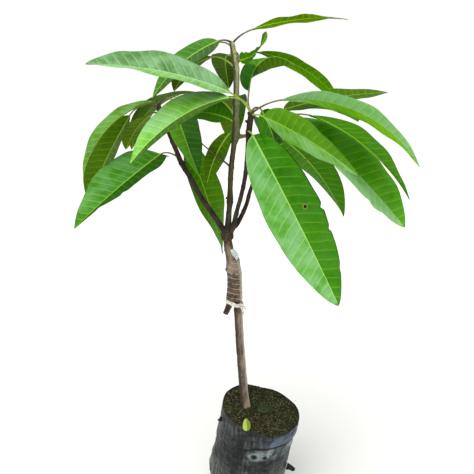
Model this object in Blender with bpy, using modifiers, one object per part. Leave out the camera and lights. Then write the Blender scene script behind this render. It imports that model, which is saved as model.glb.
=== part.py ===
"""Young grafted mango tree standing in a black grow bag of mossy soil."""
import math

import bmesh
import bpy
import numpy as np
from mathutils import Vector

# Bag and soil, in metres
GAP = 0.0003
BAG_HEIGHT = 0.195
BAG_TOP_RADIUS = 0.065
BAG_TOP_SHIFT = 0.020
BAG_WALL = 0.0015
BAG_TILT = math.radians(6.0)
BAG_STEPS = 28
RIM_RISE = 0.004
RIM_WAVE = 0.0015
SOIL_MOUND = 0.0015
# height and radius of each ring of the bag, from the floor to the rim
BAG_PROFILE = (
    (0.0, 0.050), (0.002, 0.056), (0.008, 0.0600), (0.030, 0.0630),
    (0.060, 0.0645), (0.090, 0.0655), (0.120, 0.0645), (0.150, 0.0640),
    (0.175, 0.0642), (0.195, 0.0650),
)
# scales of the two inner rings that close the top of the bag's form
CAP_RINGS = (0.72, 0.40)
HOLLOW_RISE = 0.030
WELD = 0.00002
SMOOTH_BELOW = math.radians(38)

# Stems: points along each axis and the radius at each point
ROOTSTOCK = (
    ((-0.005, 0.003, 0.185), 0.0092),
    ((-0.007, 0.003, 0.198), 0.0084),
    ((-0.010, 0.003, 0.215), 0.0074),
    ((-0.018, 0.001, 0.265), 0.0069),
    ((-0.027, 0.000, 0.325), 0.0067),
    ((-0.034, 0.000, 0.379), 0.0067),
    ((-0.037, 0.000, 0.414), 0.0067),
    ((-0.040, 0.000, 0.447), 0.0066),
    ((-0.041, 0.000, 0.469), 0.0060),
)
SCION = (
    ((-0.0535, -0.006, 0.373), 0.0042),
    ((-0.0485, -0.004, 0.392), 0.0050),
    ((-0.0485, -0.003, 0.4225), 0.0058),
    ((-0.0520, -0.002, 0.4555), 0.0064),
    ((-0.0565, 0.000, 0.479), 0.0064),
    ((-0.0600, 0.000, 0.498), 0.0066),
    ((-0.0610, 0.000, 0.508), 0.0060),
)
KNUCKLE = ((-0.061, 0.000, 0.507), (0.0092, 0.0088, 0.0120))
LIMBS = {
    "left": (
        ((-0.062, 0.001, 0.504), 0.0042), ((-0.085, 0.008, 0.531), 0.0039),
        ((-0.107, 0.016, 0.557), 0.0038), ((-0.123, 0.023, 0.580), 0.0037),
        ((-0.138, 0.029, 0.600), 0.0039), ((-0.151, 0.036, 0.624), 0.0035),
        ((-0.163, 0.042, 0.647), 0.0034), ((-0.175, 0.047, 0.672), 0.0034),
        ((-0.179, 0.048, 0.680), 0.0032),
    ),
    "leader": (
        ((-0.060, 0.000, 0.508), 0.0044), ((-0.061, 0.001, 0.526), 0.0042),
        ((-0.061, 0.002, 0.545), 0.0040), ((-0.061, 0.003, 0.557), 0.0048),
        ((-0.062, 0.004, 0.572), 0.0039), ((-0.063, 0.005, 0.598), 0.0037),
        ((-0.062, 0.007, 0.634), 0.0038), ((-0.060, 0.008, 0.650), 0.0055),
        ((-0.062, 0.009, 0.672), 0.0043), ((-0.063, 0.010, 0.689), 0.0043),
        ((-0.065, 0.011, 0.718), 0.0042), ((-0.067, 0.012, 0.740), 0.0040),
        ((-0.074, 0.012, 0.768), 0.0038), ((-0.078, 0.012, 0.776), 0.0036),
    ),
    "front": (
        ((-0.057, -0.003, 0.511), 0.0036), ((-0.053, -0.006, 0.520), 0.0034),
        ((-0.049, -0.012, 0.548), 0.0031), ((-0.0455, -0.018, 0.569), 0.0030),
        ((-0.0425, -0.025, 0.595), 0.0030), ((-0.0415, -0.032, 0.619), 0.0031),
        ((-0.042, -0.041, 0.649), 0.0034), ((-0.0425, -0.045, 0.665), 0.0038),
        ((-0.042, -0.049, 0.682), 0.0038), ((-0.0415, -0.051, 0.694), 0.0036),
    ),
    "right": (
        ((-0.055, 0.002, 0.515), 0.0032), ((-0.047, 0.004, 0.522), 0.0030),
        ((-0.037, 0.012, 0.547), 0.0029), ((-0.032, 0.020, 0.571), 0.0028),
        ((-0.024, 0.028, 0.600), 0.0028), ((-0.0135, 0.036, 0.635), 0.0029),
        ((-0.003, 0.041, 0.664), 0.0030), ((0.003, 0.043, 0.679), 0.0030),
    ),
}
# height at which each limb stops and its leafy shoot begins
SHOOT_START = {"left": 0.592, "leader": 0.597, "front": 0.657, "right": 0.628}

# Each leaf: name, limb, height of its foot, headings and pitches in degrees
# (foot, blade base, tip), stalk and blade length and blade width in mm,
# roll in degrees (base, tip), fold in degrees and how full the blade is
# toward its base and its tip (smaller is fuller)
LEAVES = (
    ("front_01", "front", 0.690, (-170, -155, -163), (60, 20, 0), 40, 178, 60, (36, 14), 18, (0.70, 0.95)),
    ("front_02", "front", 0.690, (-135, -143, -143), (65, -8, -52), 45, 157, 57, (12, 8), 20, (0.62, 0.95)),
    ("front_04", "front", 0.692, (165, 65, 8), (50, 92, -40), 28, 96, 38, (-85, -25), 56, (0.55, 0.90)),
    ("front_05", "front", 0.690, (10, -6, -52), (45, 11, -43), 45, 202, 58, (20, 46), 4, (0.62, 0.82)),
    ("front_06", "front", 0.688, (-60, -34, -35), (20, -11, -27), 25, 146, 72, (55, 35), 2, (0.64, 0.80)),
    ("front_07", "front", 0.665, (-115, -8, -30), (45, -56, -55), 15, 256, 90, (-42, -36), 4, (0.50, 0.72)),
    ("front_08", "front", 0.690, (60, 26, 62), (75, -55, -74), 24, 136, 56, (-70, -30), 2, (0.50, 0.80)),
    ("left_01", "left", 0.600, (-215, -117, -128), (55, -17, -34), 40, 178, 82, (6, -6), 23, (0.60, 0.90)),
    ("left_02", "left", 0.678, (-100, -145, -138), (65, -12, -76), 15, 154, 55, (-3, -13), 14, (0.60, 0.80)),
    ("left_03", "left", 0.676, (-170, -186, -190), (20, -60, -69), 50, 154, 64, (-23, -28), 24, (0.60, 0.82)),
    ("left_04", "left", 0.678, (-40, -60, -42), (60, -45, -54), 52, 111, 51, (-6, -4), 18, (0.45, 0.95)),
    ("left_05", "left", 0.630, (60, 8, 74), (80, -69, -62), 33, 225, 60, (-86, -64), 18, (0.75, 0.80)),
    ("left_06", "left", 0.668, (165, 140, 130), (5, -30, -60), 20, 95, 40, (10, 0), 15, (0.62, 0.80)),
    ("leader_01", "leader", 0.673, (120, 160, 130), (42, 0, -75), 78, 190, 52, (-8, 10), 6, (0.60, 0.80)),
    ("leader_02", "leader", 0.605, (200, 122, 115), (38, 20, -30), 72, 110, 34, (0, 0), 15, (0.62, 0.80)),
    ("leader_03", "leader", 0.695, (85, 98, 81), (60, -11, -60), 20, 170, 48, (10, 32), 16, (0.60, 0.75)),
    ("leader_04", "leader", 0.660, (95, 142, 150), (45, 12, -14), 20, 85, 50, (32, 25), 12, (0.60, 0.80)),
    ("leader_05", "leader", 0.757, (155, 103, 75), (5, 0, -52), 14, 126, 43, (5, 15), 15, (0.62, 0.78)),
    ("leader_06", "leader", 0.774, (-145, -158, -155), (25, -24, -60), 20, 119, 46, (21, 24), 6, (0.5, 1.0)),
    ("leader_07", "leader", 0.762, (120, 175, 165), (55, -10, -70), 30, 100, 42, (0, 0), 15, (0.62, 0.80)),
    ("leader_08", "leader", 0.740, (175, 130, 125), (45, -10, -50), 45, 120, 42, (0, 0), 15, (0.62, 0.80)),
    ("leader_09", "leader", 0.750, (-60, -14, -3), (30, 12, 88), 8, 54, 30, (25, -20), 5, (0.45, 0.60)),
    ("leader_10", "leader", 0.772, (20, -12, 35), (55, 20, 0), 35, 136, 47, (-19, -4), 4, (0.62, 0.78)),
    ("leader_11", "leader", 0.743, (-5, 11, 7), (75, -5, -50), 40, 154, 51, (-19, -32), 2, (0.62, 0.78)),
    ("leader_12", "leader", 0.655, (70, 208, 222), (30, -50, -82), 17, 80, 28, (40, 60), 6, (0.60, 0.80)),
    ("right_01", "right", 0.636, (35, 39, 14), (55, -28, -60), 35, 192, 62, (52, 6), 15, (0.60, 0.75)),
    ("right_02", "right", 0.675, (-40, -34, -10), (50, -29, -44), 35, 216, 82, (-8, -44), 22, (0.65, 0.76)),
    ("right_03", "right", 0.677, (-15, -51, -8), (25, -3, -54), 50, 190, 75, (5, -2), 13, (0.65, 0.80)),
    ("right_04", "right", 0.678, (100, 35, 14), (65, 15, 5), 15, 185, 50, (-16, -16), 6, (0.60, 0.80)),
    ("right_05", "right", 0.677, (80, 45, 55), (30, 5, -20), 30, 220, 60, (0, 10), 15, (0.62, 0.80)),
    ("right_06", "right", 0.655, (115, 90, 75), (15, 10, -65), 25, 170, 58, (0, 0), 15, (0.62, 0.80)),
    ("right_07", "right", 0.670, (60, 20, 60), (20, -15, -35), 35, 200, 58, (0, 0), 15, (0.62, 0.80)),
)
BLADE_THICK = 0.0026
BLADE_STEPS = 9
BLADE_STRIPS = 4
STALK_STEPS = 4
STALK_RADIUS = 0.0017
STALK_OVERLAP = 0.006
MIDRIB_STEPS = 24
BLADE_MIN_HALF = 0.0014

# Binding of the graft
WRAP_BOTTOM = 0.402
WRAP_TOP = 0.462
WRAP_REACH = 0.0092
WRAP_SWELL = 0.03
TIE_HEIGHT = 0.397
TIE_REACH = 0.0096
TIE_SWELL = 0.06
TIE_HALF = 0.0035
# size, middle and turn in degrees of the tie's tail and the tape's flap
TAIL = ((0.0050, 0.0010, 0.0180), (-0.0300, -0.0092, 0.3880), (4, 8, 12))
FLAP = ((0.0110, 0.0010, 0.0140), (-0.0465, -0.0082, 0.4670), (8, -25, 10))
RING_STEPS = 24
SLEEVE_LEVELS = 5


def clear_scene():
    """Remove whatever the scene holds."""
    for obj in list(bpy.data.objects):
        bpy.data.objects.remove(obj, do_unlink=True)


def collection(name, hidden=False):
    """A new collection linked to the scene."""
    coll = bpy.data.collections.new(name)
    bpy.context.scene.collection.children.link(coll)
    coll.hide_render = hidden
    return coll


def plain_material(name, colour, roughness):
    """A material with one base colour and one roughness."""
    mat = bpy.data.materials.new(name)
    mat.use_nodes = True
    shader = mat.node_tree.nodes["Principled BSDF"]
    shader.inputs["Base Color"].default_value = (*colour, 1.0)
    shader.inputs["Roughness"].default_value = roughness
    mat.diffuse_color = (*colour, 1.0)
    return mat


def new_object(name, verts, faces, coll):
    """An object made from points and faces."""
    mesh = bpy.data.meshes.new(name)
    mesh.from_pydata([tuple(v) for v in verts], [], [tuple(f) for f in faces])
    mesh.update()
    obj = bpy.data.objects.new(name, mesh)
    coll.objects.link(obj)
    return obj


def hide_cutter(obj):
    """Show a cutting form only as wires."""
    obj.hide_render = True
    obj.display_type = "WIRE"
    return obj


def applied(obj):
    """Replace an object's mesh by what its modifiers make of it."""
    deps = bpy.context.evaluated_depsgraph_get()
    mesh = bpy.data.meshes.new_from_object(obj.evaluated_get(deps))
    obj.modifiers.clear()
    obj.data = mesh
    return obj


def boolean(obj, operation, other=None, group=None):
    """Combine an object with another one, or with a group of them."""
    mod = obj.modifiers.new(operation.lower(), "BOOLEAN")
    mod.operation = operation
    mod.solver = "EXACT"
    if group is not None:
        mod.operand_type = "COLLECTION"
        mod.collection = group
    else:
        mod.object = other
    return applied(obj)


def smooth_path(points, per_span=3):
    """Rows (x, y, z, radius) on a Catmull-Rom curve through the points."""
    rows = np.array([(*p, r) for p, r in points])
    ends = np.vstack([2 * rows[0] - rows[1], rows, 2 * rows[-1] - rows[-2]])
    out = []
    for i in range(1, len(ends) - 2):
        a, b, c, d = ends[i - 1], ends[i], ends[i + 1], ends[i + 2]
        for t in np.arange(per_span) / per_span:
            out.append(0.5 * (2 * b + (c - a) * t + (2 * a - 5 * b + 4 * c - d) * t ** 2
                              + (3 * b - a - 3 * c + d) * t ** 3))
    out.append(ends[-2])
    return np.array(out)


def part_of_path(rows, low, high):
    """The piece of an upward path between two heights, with exact ends."""
    inside = rows[(rows[:, 2] > low + 0.002) & (rows[:, 2] < high - 0.002)]
    ends = []
    for height in (low, high):
        ends.append([np.interp(height, rows[:, 2], rows[:, k]) for k in range(4)])
    return np.vstack([ends[0], inside, ends[1]])


def tube(name, rows, coll, steps=3, extra=0.0):
    """A closed round limb along the rows, made from a bevelled curve."""
    curve = bpy.data.curves.new(name, "CURVE")
    curve.dimensions = "3D"
    curve.bevel_depth = 1.0
    curve.bevel_resolution = steps
    curve.use_fill_caps = True
    spline = curve.splines.new("POLY")
    spline.points.add(len(rows) - 1)
    for point, row in zip(spline.points, rows):
        point.co = (row[0], row[1], row[2], 1.0)
        point.radius = row[3] + extra
    holder = bpy.data.objects.new(name + "_curve", curve)
    coll.objects.link(holder)
    deps = bpy.context.evaluated_depsgraph_get()
    deps.update()
    mesh = bpy.data.meshes.new_from_object(holder.evaluated_get(deps))
    coll.objects.unlink(holder)
    bpy.data.objects.remove(holder, do_unlink=True)
    obj = bpy.data.objects.new(name, mesh)
    coll.objects.link(obj)
    weld(obj)
    return obj


def weld(obj):
    """Join the cap points with the wall points and turn the faces outward."""
    bm = bmesh.new()
    bm.from_mesh(obj.data)
    bmesh.ops.remove_doubles(bm, verts=bm.verts, dist=WELD)
    bmesh.ops.recalc_face_normals(bm, faces=bm.faces)
    bm.to_mesh(obj.data)
    bm.free()
    return obj


def smooth(obj):
    """Shade an object smooth except along its sharp edges."""
    obj.data.shade_smooth()
    obj.data.set_sharp_from_angle(angle=SMOOTH_BELOW)
    return obj


def rim_height(x, y, angle):
    """Height of the bag's rim, lower on the right and a little wavy."""
    lean = -math.tan(BAG_TILT) * (x - BAG_TOP_SHIFT)
    wave = RIM_WAVE * (math.sin(3 * angle + 0.7) + 0.6 * math.sin(7 * angle))
    return BAG_HEIGHT + lean + wave


def ring_point(level, step, inset):
    """A point of the bag's wall, drawn inward by a distance."""
    height, radius = BAG_PROFILE[level]
    share = height / BAG_HEIGHT
    angle = 2 * math.pi * step / BAG_STEPS
    bulge = 1 + share * (1 - 0.5 * share) * (
        0.030 * math.cos(2 * angle + 0.5) + 0.018 * math.sin(3 * angle)
        + 0.012 * math.cos(5 * angle + 1.0))
    reach = radius * bulge - inset
    x = reach * math.cos(angle) + BAG_TOP_SHIFT * share
    y = reach * math.sin(angle)
    z = height + inset * max(0.0, 1.0 - level / 3.0)
    if level == len(BAG_PROFILE) - 1:
        z = rim_height(x, y, angle)
    elif level == len(BAG_PROFILE) - 2:
        z -= math.tan(BAG_TILT) * (x - BAG_TOP_SHIFT) * 0.8
    return np.array((x, y, z))


def bag_form(name, coll, inset, top_rise, to_soil):
    """The bag's form drawn inward by a distance and closed on top."""
    levels = len(BAG_PROFILE)
    rings = [[ring_point(level, step, inset) for step in range(BAG_STEPS)]
             for level in range(levels)]
    if to_soil:
        for step in range(BAG_STEPS):
            low, top = rings[-2][step], rings[-1][step]
            level = soil_height(top[0], top[1])
            rings[-1][step] = low + (top - low) * (level - low[2]) / (top[2] - low[2])
    if top_rise:
        rings.append([point + np.array((0, 0, top_rise)) for point in rings[-1]])
    for scale in CAP_RINGS:
        inner = []
        for point in rings[levels - 1]:
            x = (point[0] - BAG_TOP_SHIFT) * scale + BAG_TOP_SHIFT
            y = point[1] * scale
            inner.append(np.array((x, y, soil_height(x, y) + top_rise)))
        rings.append(inner)
    verts = [point for ring in rings for point in ring]
    faces = []
    for level in range(len(rings) - 1):
        for step in range(BAG_STEPS):
            a = level * BAG_STEPS + step
            b = level * BAG_STEPS + (step + 1) % BAG_STEPS
            faces.append((a, b, b + BAG_STEPS, a + BAG_STEPS))
    floor_middle, top_middle = len(verts), len(verts) + 1
    verts.append((0.0, 0.0, inset))
    verts.append((BAG_TOP_SHIFT, 0.0, soil_height(BAG_TOP_SHIFT, 0.0) + top_rise))
    last = (len(rings) - 1) * BAG_STEPS
    for step in range(BAG_STEPS):
        nxt = (step + 1) % BAG_STEPS
        faces.append((floor_middle, nxt, step))
        faces.append((last + step, last + nxt, top_middle))
    return weld(new_object(name, verts, faces, coll))


def soil_height(x, y):
    """Height of the mossy soil, tilted with the rim and a little lumpy."""
    out_from_middle = math.hypot(x - BAG_TOP_SHIFT, y) / BAG_TOP_RADIUS
    lumps = 0.0012 * math.sin(90 * x + 2.0) * math.cos(110 * y)
    mound = SOIL_MOUND * (1 - out_from_middle ** 2)
    return (BAG_HEIGHT - RIM_RISE - math.tan(BAG_TILT) * (x - BAG_TOP_SHIFT)
            + mound + lumps)


def make_bag(coll, cut):
    """The black bag, an open shell with a flat floor."""
    outer = bag_form("grow_bag", coll, 0.0, 0.0, False)
    inner = hide_cutter(bag_form("bag_hollow", cut, BAG_WALL, HOLLOW_RISE, False))
    boolean(outer, "DIFFERENCE", inner)
    outer.data.materials.append(plain_material("black_film", (0.020, 0.021, 0.026), 0.45))
    return smooth(outer)


def make_soil(coll, cut, trunk_rows):
    """The soil filling the bag, with a socket for the foot of the trunk."""
    soil = bag_form("soil", coll, BAG_WALL + GAP, 0.0, True)
    socket = hide_cutter(tube("trunk_socket", cut_rows(trunk_rows), cut, 4, GAP))
    boolean(soil, "DIFFERENCE", socket)
    soil.data.materials.append(plain_material("mossy_soil", (0.075, 0.080, 0.025), 0.95))
    return smooth(soil)


def cut_rows(rows):
    """Rows of a path lengthened a little past both ends for a cutter."""
    first, last = rows[0].copy(), rows[-1].copy()
    step = (rows[1] - rows[0]) / np.linalg.norm((rows[1] - rows[0])[:3])
    first[:3] -= step[:3] * GAP
    step = (rows[-1] - rows[-2]) / np.linalg.norm((rows[-1] - rows[-2])[:3])
    last[:3] += step[:3] * GAP
    return np.vstack([first, rows[1:-1], last])


def make_trunk(coll):
    """The rootstock, flared at the soil and cut off square at its shoulder."""
    rows = smooth_path(ROOTSTOCK)
    trunk = tube("trunk", rows, coll, 4)
    trunk.data.materials.append(plain_material("grey_bark", (0.21, 0.185, 0.14), 0.85))
    return smooth(trunk), rows


def knuckle_form(name, coll, extra=0.0):
    """The swelling where the four limbs part."""
    centre, size = KNUCKLE
    bpy.ops.mesh.primitive_uv_sphere_add(segments=18, ring_count=12, radius=1.0)
    ball = bpy.context.active_object
    ball.name = name
    for holder in list(ball.users_collection):
        holder.objects.unlink(ball)
    coll.objects.link(ball)
    for vert in ball.data.vertices:
        co = vert.co
        vert.co = Vector(co[k] * (size[k] + extra) + centre[k] for k in range(3))
    return ball


def make_scion(coll, cut, trunk_rows):
    """The grafted shoot beside the rootstock, up to its knuckle."""
    rows = smooth_path(SCION)
    scion = tube("scion", rows, coll, 4)
    knuckle = knuckle_form("knuckle", cut)
    boolean(scion, "UNION", knuckle)
    bpy.data.objects.remove(knuckle, do_unlink=True)
    beside = hide_cutter(tube("trunk_room", cut_rows(trunk_rows), cut, 4, GAP))
    boolean(scion, "DIFFERENCE", beside)
    scion.data.materials.append(plain_material("brown_bark", (0.13, 0.095, 0.06), 0.8))
    return smooth(scion), rows


def oval_sleeve(name, coll, low, high, reach, rows_a, rows_b, swell):
    """A closed oval drum around two stems between two heights."""
    verts, faces = [], []
    for level in range(SLEEVE_LEVELS):
        share = level / (SLEEVE_LEVELS - 1)
        z = low + (high - low) * share
        xa = np.interp(z, rows_a[:, 2], rows_a[:, 0])
        xb = np.interp(z, rows_b[:, 2], rows_b[:, 0])
        ya = np.interp(z, rows_a[:, 2], rows_a[:, 1])
        yb = np.interp(z, rows_b[:, 2], rows_b[:, 1])
        grow = 1.0 + swell * math.sin(math.pi * share)
        half = abs(xa - xb) / 2 + reach
        for step in range(RING_STEPS):
            angle = 2 * math.pi * step / RING_STEPS
            x = (xa + xb) / 2 + half * grow * math.cos(angle)
            y = (ya + yb) / 2 + reach * grow * math.sin(angle)
            verts.append((x, y, z))
    for level in range(SLEEVE_LEVELS - 1):
        for step in range(RING_STEPS):
            a = level * RING_STEPS + step
            b = level * RING_STEPS + (step + 1) % RING_STEPS
            faces.append((a, b, b + RING_STEPS, a + RING_STEPS))
    faces.append(tuple(reversed(range(RING_STEPS))))
    last = (SLEEVE_LEVELS - 1) * RING_STEPS
    faces.append(tuple(last + k for k in range(RING_STEPS)))
    return weld(new_object(name, verts, faces, coll))


def slab(name, coll, size, place, turn):
    """A thin flat strip of tape."""
    bpy.ops.mesh.primitive_cube_add(size=1.0)
    obj = bpy.context.active_object
    obj.name = name
    for holder in list(obj.users_collection):
        holder.objects.unlink(obj)
    coll.objects.link(obj)
    obj.scale = size
    obj.location = place
    obj.rotation_euler = [math.radians(v) for v in turn]
    bpy.context.view_layer.update()
    obj.data.transform(obj.matrix_world)
    obj.location, obj.rotation_euler, obj.scale = (0, 0, 0), (0, 0, 0), (1, 1, 1)
    return obj


def make_binding(coll, cut, trunk_rows, scion_rows):
    """The tape round the graft and the white tie under it."""
    film = plain_material("clear_tape", (0.42, 0.38, 0.29), 0.5)
    white = plain_material("white_tape", (0.80, 0.79, 0.74), 0.45)
    wrap = oval_sleeve("graft_tape", coll, WRAP_BOTTOM, WRAP_TOP, WRAP_REACH,
                       trunk_rows, scion_rows, WRAP_SWELL)
    tie = oval_sleeve("graft_tie", coll, TIE_HEIGHT - TIE_HALF, TIE_HEIGHT + TIE_HALF,
                      TIE_REACH, trunk_rows, scion_rows, TIE_SWELL)
    tail = slab("tie_tail", cut, *TAIL)
    boolean(tie, "UNION", tail)
    bpy.data.objects.remove(tail, do_unlink=True)
    flap = slab("tape_flap", cut, *FLAP)
    boolean(wrap, "UNION", flap)
    bpy.data.objects.remove(flap, do_unlink=True)
    rooms = (
        tube("trunk_in_tape", cut_rows(trunk_rows), cut, 4, GAP),
        tube("scion_in_tape", cut_rows(scion_rows), cut, 4, GAP),
    )
    for obj in (wrap, tie):
        for room in rooms:
            boolean(obj, "DIFFERENCE", hide_cutter(room))
    wrap.data.materials.append(film)
    tie.data.materials.append(white)
    return smooth(wrap), smooth(tie)


def heading(turn, pitch):
    """Unit directions for headings and pitches given in degrees."""
    a, p = np.radians(turn), np.radians(pitch)
    return np.stack([np.cos(p) * np.cos(a), np.cos(p) * np.sin(a), np.sin(p)], -1)


def bent_run(start, turns, pitches, length, count):
    """Points of a line that turns evenly from its first to its last heading."""
    t = (np.arange(count) + 0.5) / count
    steps = heading(turns[0] + (turns[1] - turns[0]) * t,
                    pitches[0] + (pitches[1] - pitches[0]) * t) * (length / count)
    return np.vstack([start, start + np.cumsum(steps, axis=0)])


def blade_frame(line, rolls):
    """Direction, side and face vectors along a blade's midrib."""
    along = np.gradient(line, axis=0)
    along /= np.linalg.norm(along, axis=1)[:, None]
    side = np.cross(along, (0.0, 0.0, 1.0))
    side /= np.maximum(np.linalg.norm(side, axis=1), 1e-6)[:, None]
    for i in range(1, len(side)):
        if side[i] @ side[i - 1] < 0:
            side[i] = -side[i]
    face = np.cross(side, along)
    roll = np.radians(np.linspace(rolls[0], rolls[1], len(line)))[:, None]
    return (along, side * np.cos(roll) + face * np.sin(roll),
            face * np.cos(roll) - side * np.sin(roll))


def blade_half(u, width, fullness):
    """Half width of a lance-shaped blade at a share of its length."""
    base, tip = fullness
    u = np.clip(u, 1e-6, 1 - 1e-6)
    peak = base / (base + tip)
    shape = u ** base * (1 - u) ** tip
    shape /= peak ** base * (1 - peak) ** tip
    return np.maximum(width / 2 * shape, BLADE_MIN_HALF)


def make_leaf(leaf, rows, coll):
    """One leaf: a round stalk and a folded, curving blade with thickness."""
    name, _, foot, turns, pitches, stalk, length, width, rolls, fold, fullness = leaf
    start = np.array([np.interp(foot, rows[:, 2], rows[:, k]) for k in range(3)])
    stem = bent_run(start, turns[:2], pitches[:2], stalk / 1000, STALK_STEPS)
    line = bent_run(stem[-1], turns[1:], pitches[1:], length / 1000, MIDRIB_STEPS)
    _, side, face = blade_frame(line, rolls)
    share = np.linspace(0, 1, BLADE_STEPS) ** 1.1
    at = share * (len(line) - 1)
    rib, side, face = (
        np.stack([np.interp(at, np.arange(len(line)), v[:, k]) for k in range(3)], -1)
        for v in (line, side, face))
    half = blade_half(share, width / 1000, fullness)
    across = np.linspace(-1, 1, BLADE_STRIPS + 1)
    bend = math.radians(fold)
    points = (rib[:, None] + (half[:, None] * across * math.cos(bend))[..., None] * side[:, None]
              + (half[:, None] * np.abs(across) * math.sin(bend))[..., None] * face[:, None])
    wide = BLADE_STRIPS + 1
    faces = []
    for i in range(BLADE_STEPS - 1):
        for j in range(BLADE_STRIPS):
            a = i * wide + j
            faces.append((a, a + 1, a + wide + 1, a + wide))
    blade = new_object(name, points.reshape(-1, 3), faces, coll)
    solid = blade.modifiers.new("thickness", "SOLIDIFY")
    solid.thickness = BLADE_THICK
    solid.offset = 0.0
    applied(blade)
    weld(blade)
    into = line[0] + (line[1] - line[0]) / np.linalg.norm(line[1] - line[0]) * STALK_OVERLAP
    path = np.vstack([stem, into])
    radius = np.full((len(path), 1), STALK_RADIUS)
    radius[-1] = STALK_RADIUS * 0.6
    tube(name + "_stalk", np.hstack([path, radius]), coll, 1)


def make_shoot(limb, rows, coll):
    """The leafy end of a limb, one solid of stem, stalks and blades."""
    top = rows[-1, 2]
    shoot_rows = part_of_path(rows, SHOOT_START[limb] + GAP, top)
    shoot = tube("leaves_" + limb, shoot_rows, coll, 2)
    bunch = collection("bunch_" + limb)
    for leaf in LEAVES:
        if leaf[1] == limb:
            make_leaf(leaf, rows, bunch)
    boolean(shoot, "UNION", group=bunch)
    for obj in list(bunch.objects):
        bpy.data.objects.remove(obj, do_unlink=True)
    bpy.data.collections.remove(bunch)
    shoot.data.materials.append(plain_material("leaf_green_" + limb, (0.10, 0.24, 0.035), 0.4))
    return smooth(shoot)


def make_limbs(coll, cut):
    """Four bare boughs, each cut clear of the knuckle and of its neighbours."""
    made = {}
    bark = plain_material("dark_bark", (0.075, 0.055, 0.035), 0.75)
    knuckle = hide_cutter(knuckle_form("knuckle_room", cut, GAP))
    paths = {limb: smooth_path(points) for limb, points in LIMBS.items()}
    for limb, rows in paths.items():
        bare = part_of_path(rows, rows[0, 2], SHOOT_START[limb])
        bough = tube("bough_" + limb, bare, coll, 3)
        boolean(bough, "DIFFERENCE", knuckle)
        for other in made.values():
            boolean(bough, "DIFFERENCE", other)
        room = tube("room_of_" + limb, cut_rows(bare), cut, 3, GAP)
        made[limb] = hide_cutter(room)
        bough.data.materials.append(bark)
        smooth(bough)
    return paths


def main():
    clear_scene()
    coll = collection("mango_tree")
    cut = collection("cutters", hidden=True)
    trunk, trunk_rows = make_trunk(coll)
    scion, scion_rows = make_scion(coll, cut, trunk_rows)
    make_binding(coll, cut, trunk_rows, scion_rows)
    make_bag(coll, cut)
    make_soil(coll, cut, trunk_rows)
    paths = make_limbs(coll, cut)
    for limb, rows in paths.items():
        make_shoot(limb, rows, coll)


main()
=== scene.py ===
"""Finish of a young grafted mango tree in a black grow bag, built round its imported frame."""
import collections
import itertools
import math

import bpy
import numpy as np
from mathutils import Matrix


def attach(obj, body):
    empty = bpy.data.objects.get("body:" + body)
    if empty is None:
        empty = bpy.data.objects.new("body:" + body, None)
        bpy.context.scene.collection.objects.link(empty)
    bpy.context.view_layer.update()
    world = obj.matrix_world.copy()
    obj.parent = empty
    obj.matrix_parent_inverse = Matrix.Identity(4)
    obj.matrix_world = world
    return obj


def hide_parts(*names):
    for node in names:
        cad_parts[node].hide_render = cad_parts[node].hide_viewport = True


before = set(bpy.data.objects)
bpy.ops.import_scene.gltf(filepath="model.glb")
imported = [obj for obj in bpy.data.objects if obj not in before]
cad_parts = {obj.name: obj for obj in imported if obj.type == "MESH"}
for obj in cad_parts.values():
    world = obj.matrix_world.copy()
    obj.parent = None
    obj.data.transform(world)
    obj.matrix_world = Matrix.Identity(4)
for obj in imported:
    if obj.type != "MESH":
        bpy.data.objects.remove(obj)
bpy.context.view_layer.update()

# Camera: place in metres, downward pitch and roll in degrees, and lens in mm
EYE = (-0.046, -0.750, 0.777)
PITCH = 20.2
ROLL = 5.0
LENS = 40.4
# Half the side of the floor, in metres
FLOOR_REACH = 9.0

# Bag and soil, in metres
BAG_HEIGHT = 0.195
BAG_TOP_RADIUS = 0.065
BAG_TOP_SHIFT = 0.020
BAG_TILT = math.radians(6.0)
RIM_RISE = 0.0020
RIM_WAVE = 0.0015
SOIL_MOUND = 0.0015
FILM = 0.0007
BAG_PROFILE = (
    (0.0, 0.050), (0.002, 0.056), (0.008, 0.0600), (0.030, 0.0630),
    (0.060, 0.0645), (0.090, 0.0655), (0.120, 0.0645), (0.150, 0.0640),
    (0.175, 0.0642), (0.195, 0.0650),
)
BAG_COLUMNS = 320
BAG_ROWS = 170
# Rings of the bag's floor, of the film inside the rim, and of its closing under
# the soil, and how far the inside film reaches down
FLOOR_RINGS = 10
SKIRT_RINGS = 12
CLOSING_RINGS = 9
SKIRT_DEPTH = 0.016
SOIL_COLUMNS = 260
SOIL_ROWS = 110
# Holes punched in the film: angle round the bag, height and radius
HOLES = ((-1.61, 0.148, 0.0056), (-1.33, 0.147, 0.0046), (-1.10, 0.150, 0.0026),
         (-2.6, 0.060, 0.0030), (-0.4, 0.062, 0.0030), (0.7, 0.148, 0.0034),
         (1.9, 0.150, 0.0034), (2.8, 0.060, 0.0030))
# Angle of the side where the film is pinched in
PINCHED_SIDE = -3.08

# Heights of the graft's tape, of the bud under it and of the tie, the tape's rise
# in one turn, and how far tape and tie stand out from the stems' axes
TAPE_FOOT = 0.3975
TAPE_TOP = 0.4655
BUD_HEIGHT = 0.4475
TIE_HEIGHT = 0.3932
TAPE_PITCH = 0.0083
TAPE_DEPTH = 0.0072
TIE_DEPTH = 0.0074
TAPE_ROWS = 190
TAPE_COLUMNS = 150
TIE_ROWS = 180
CORD_SIDES = 20
# Half the thickness of a loose strip of tape or film
STRIP_HALF = 0.00016

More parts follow.
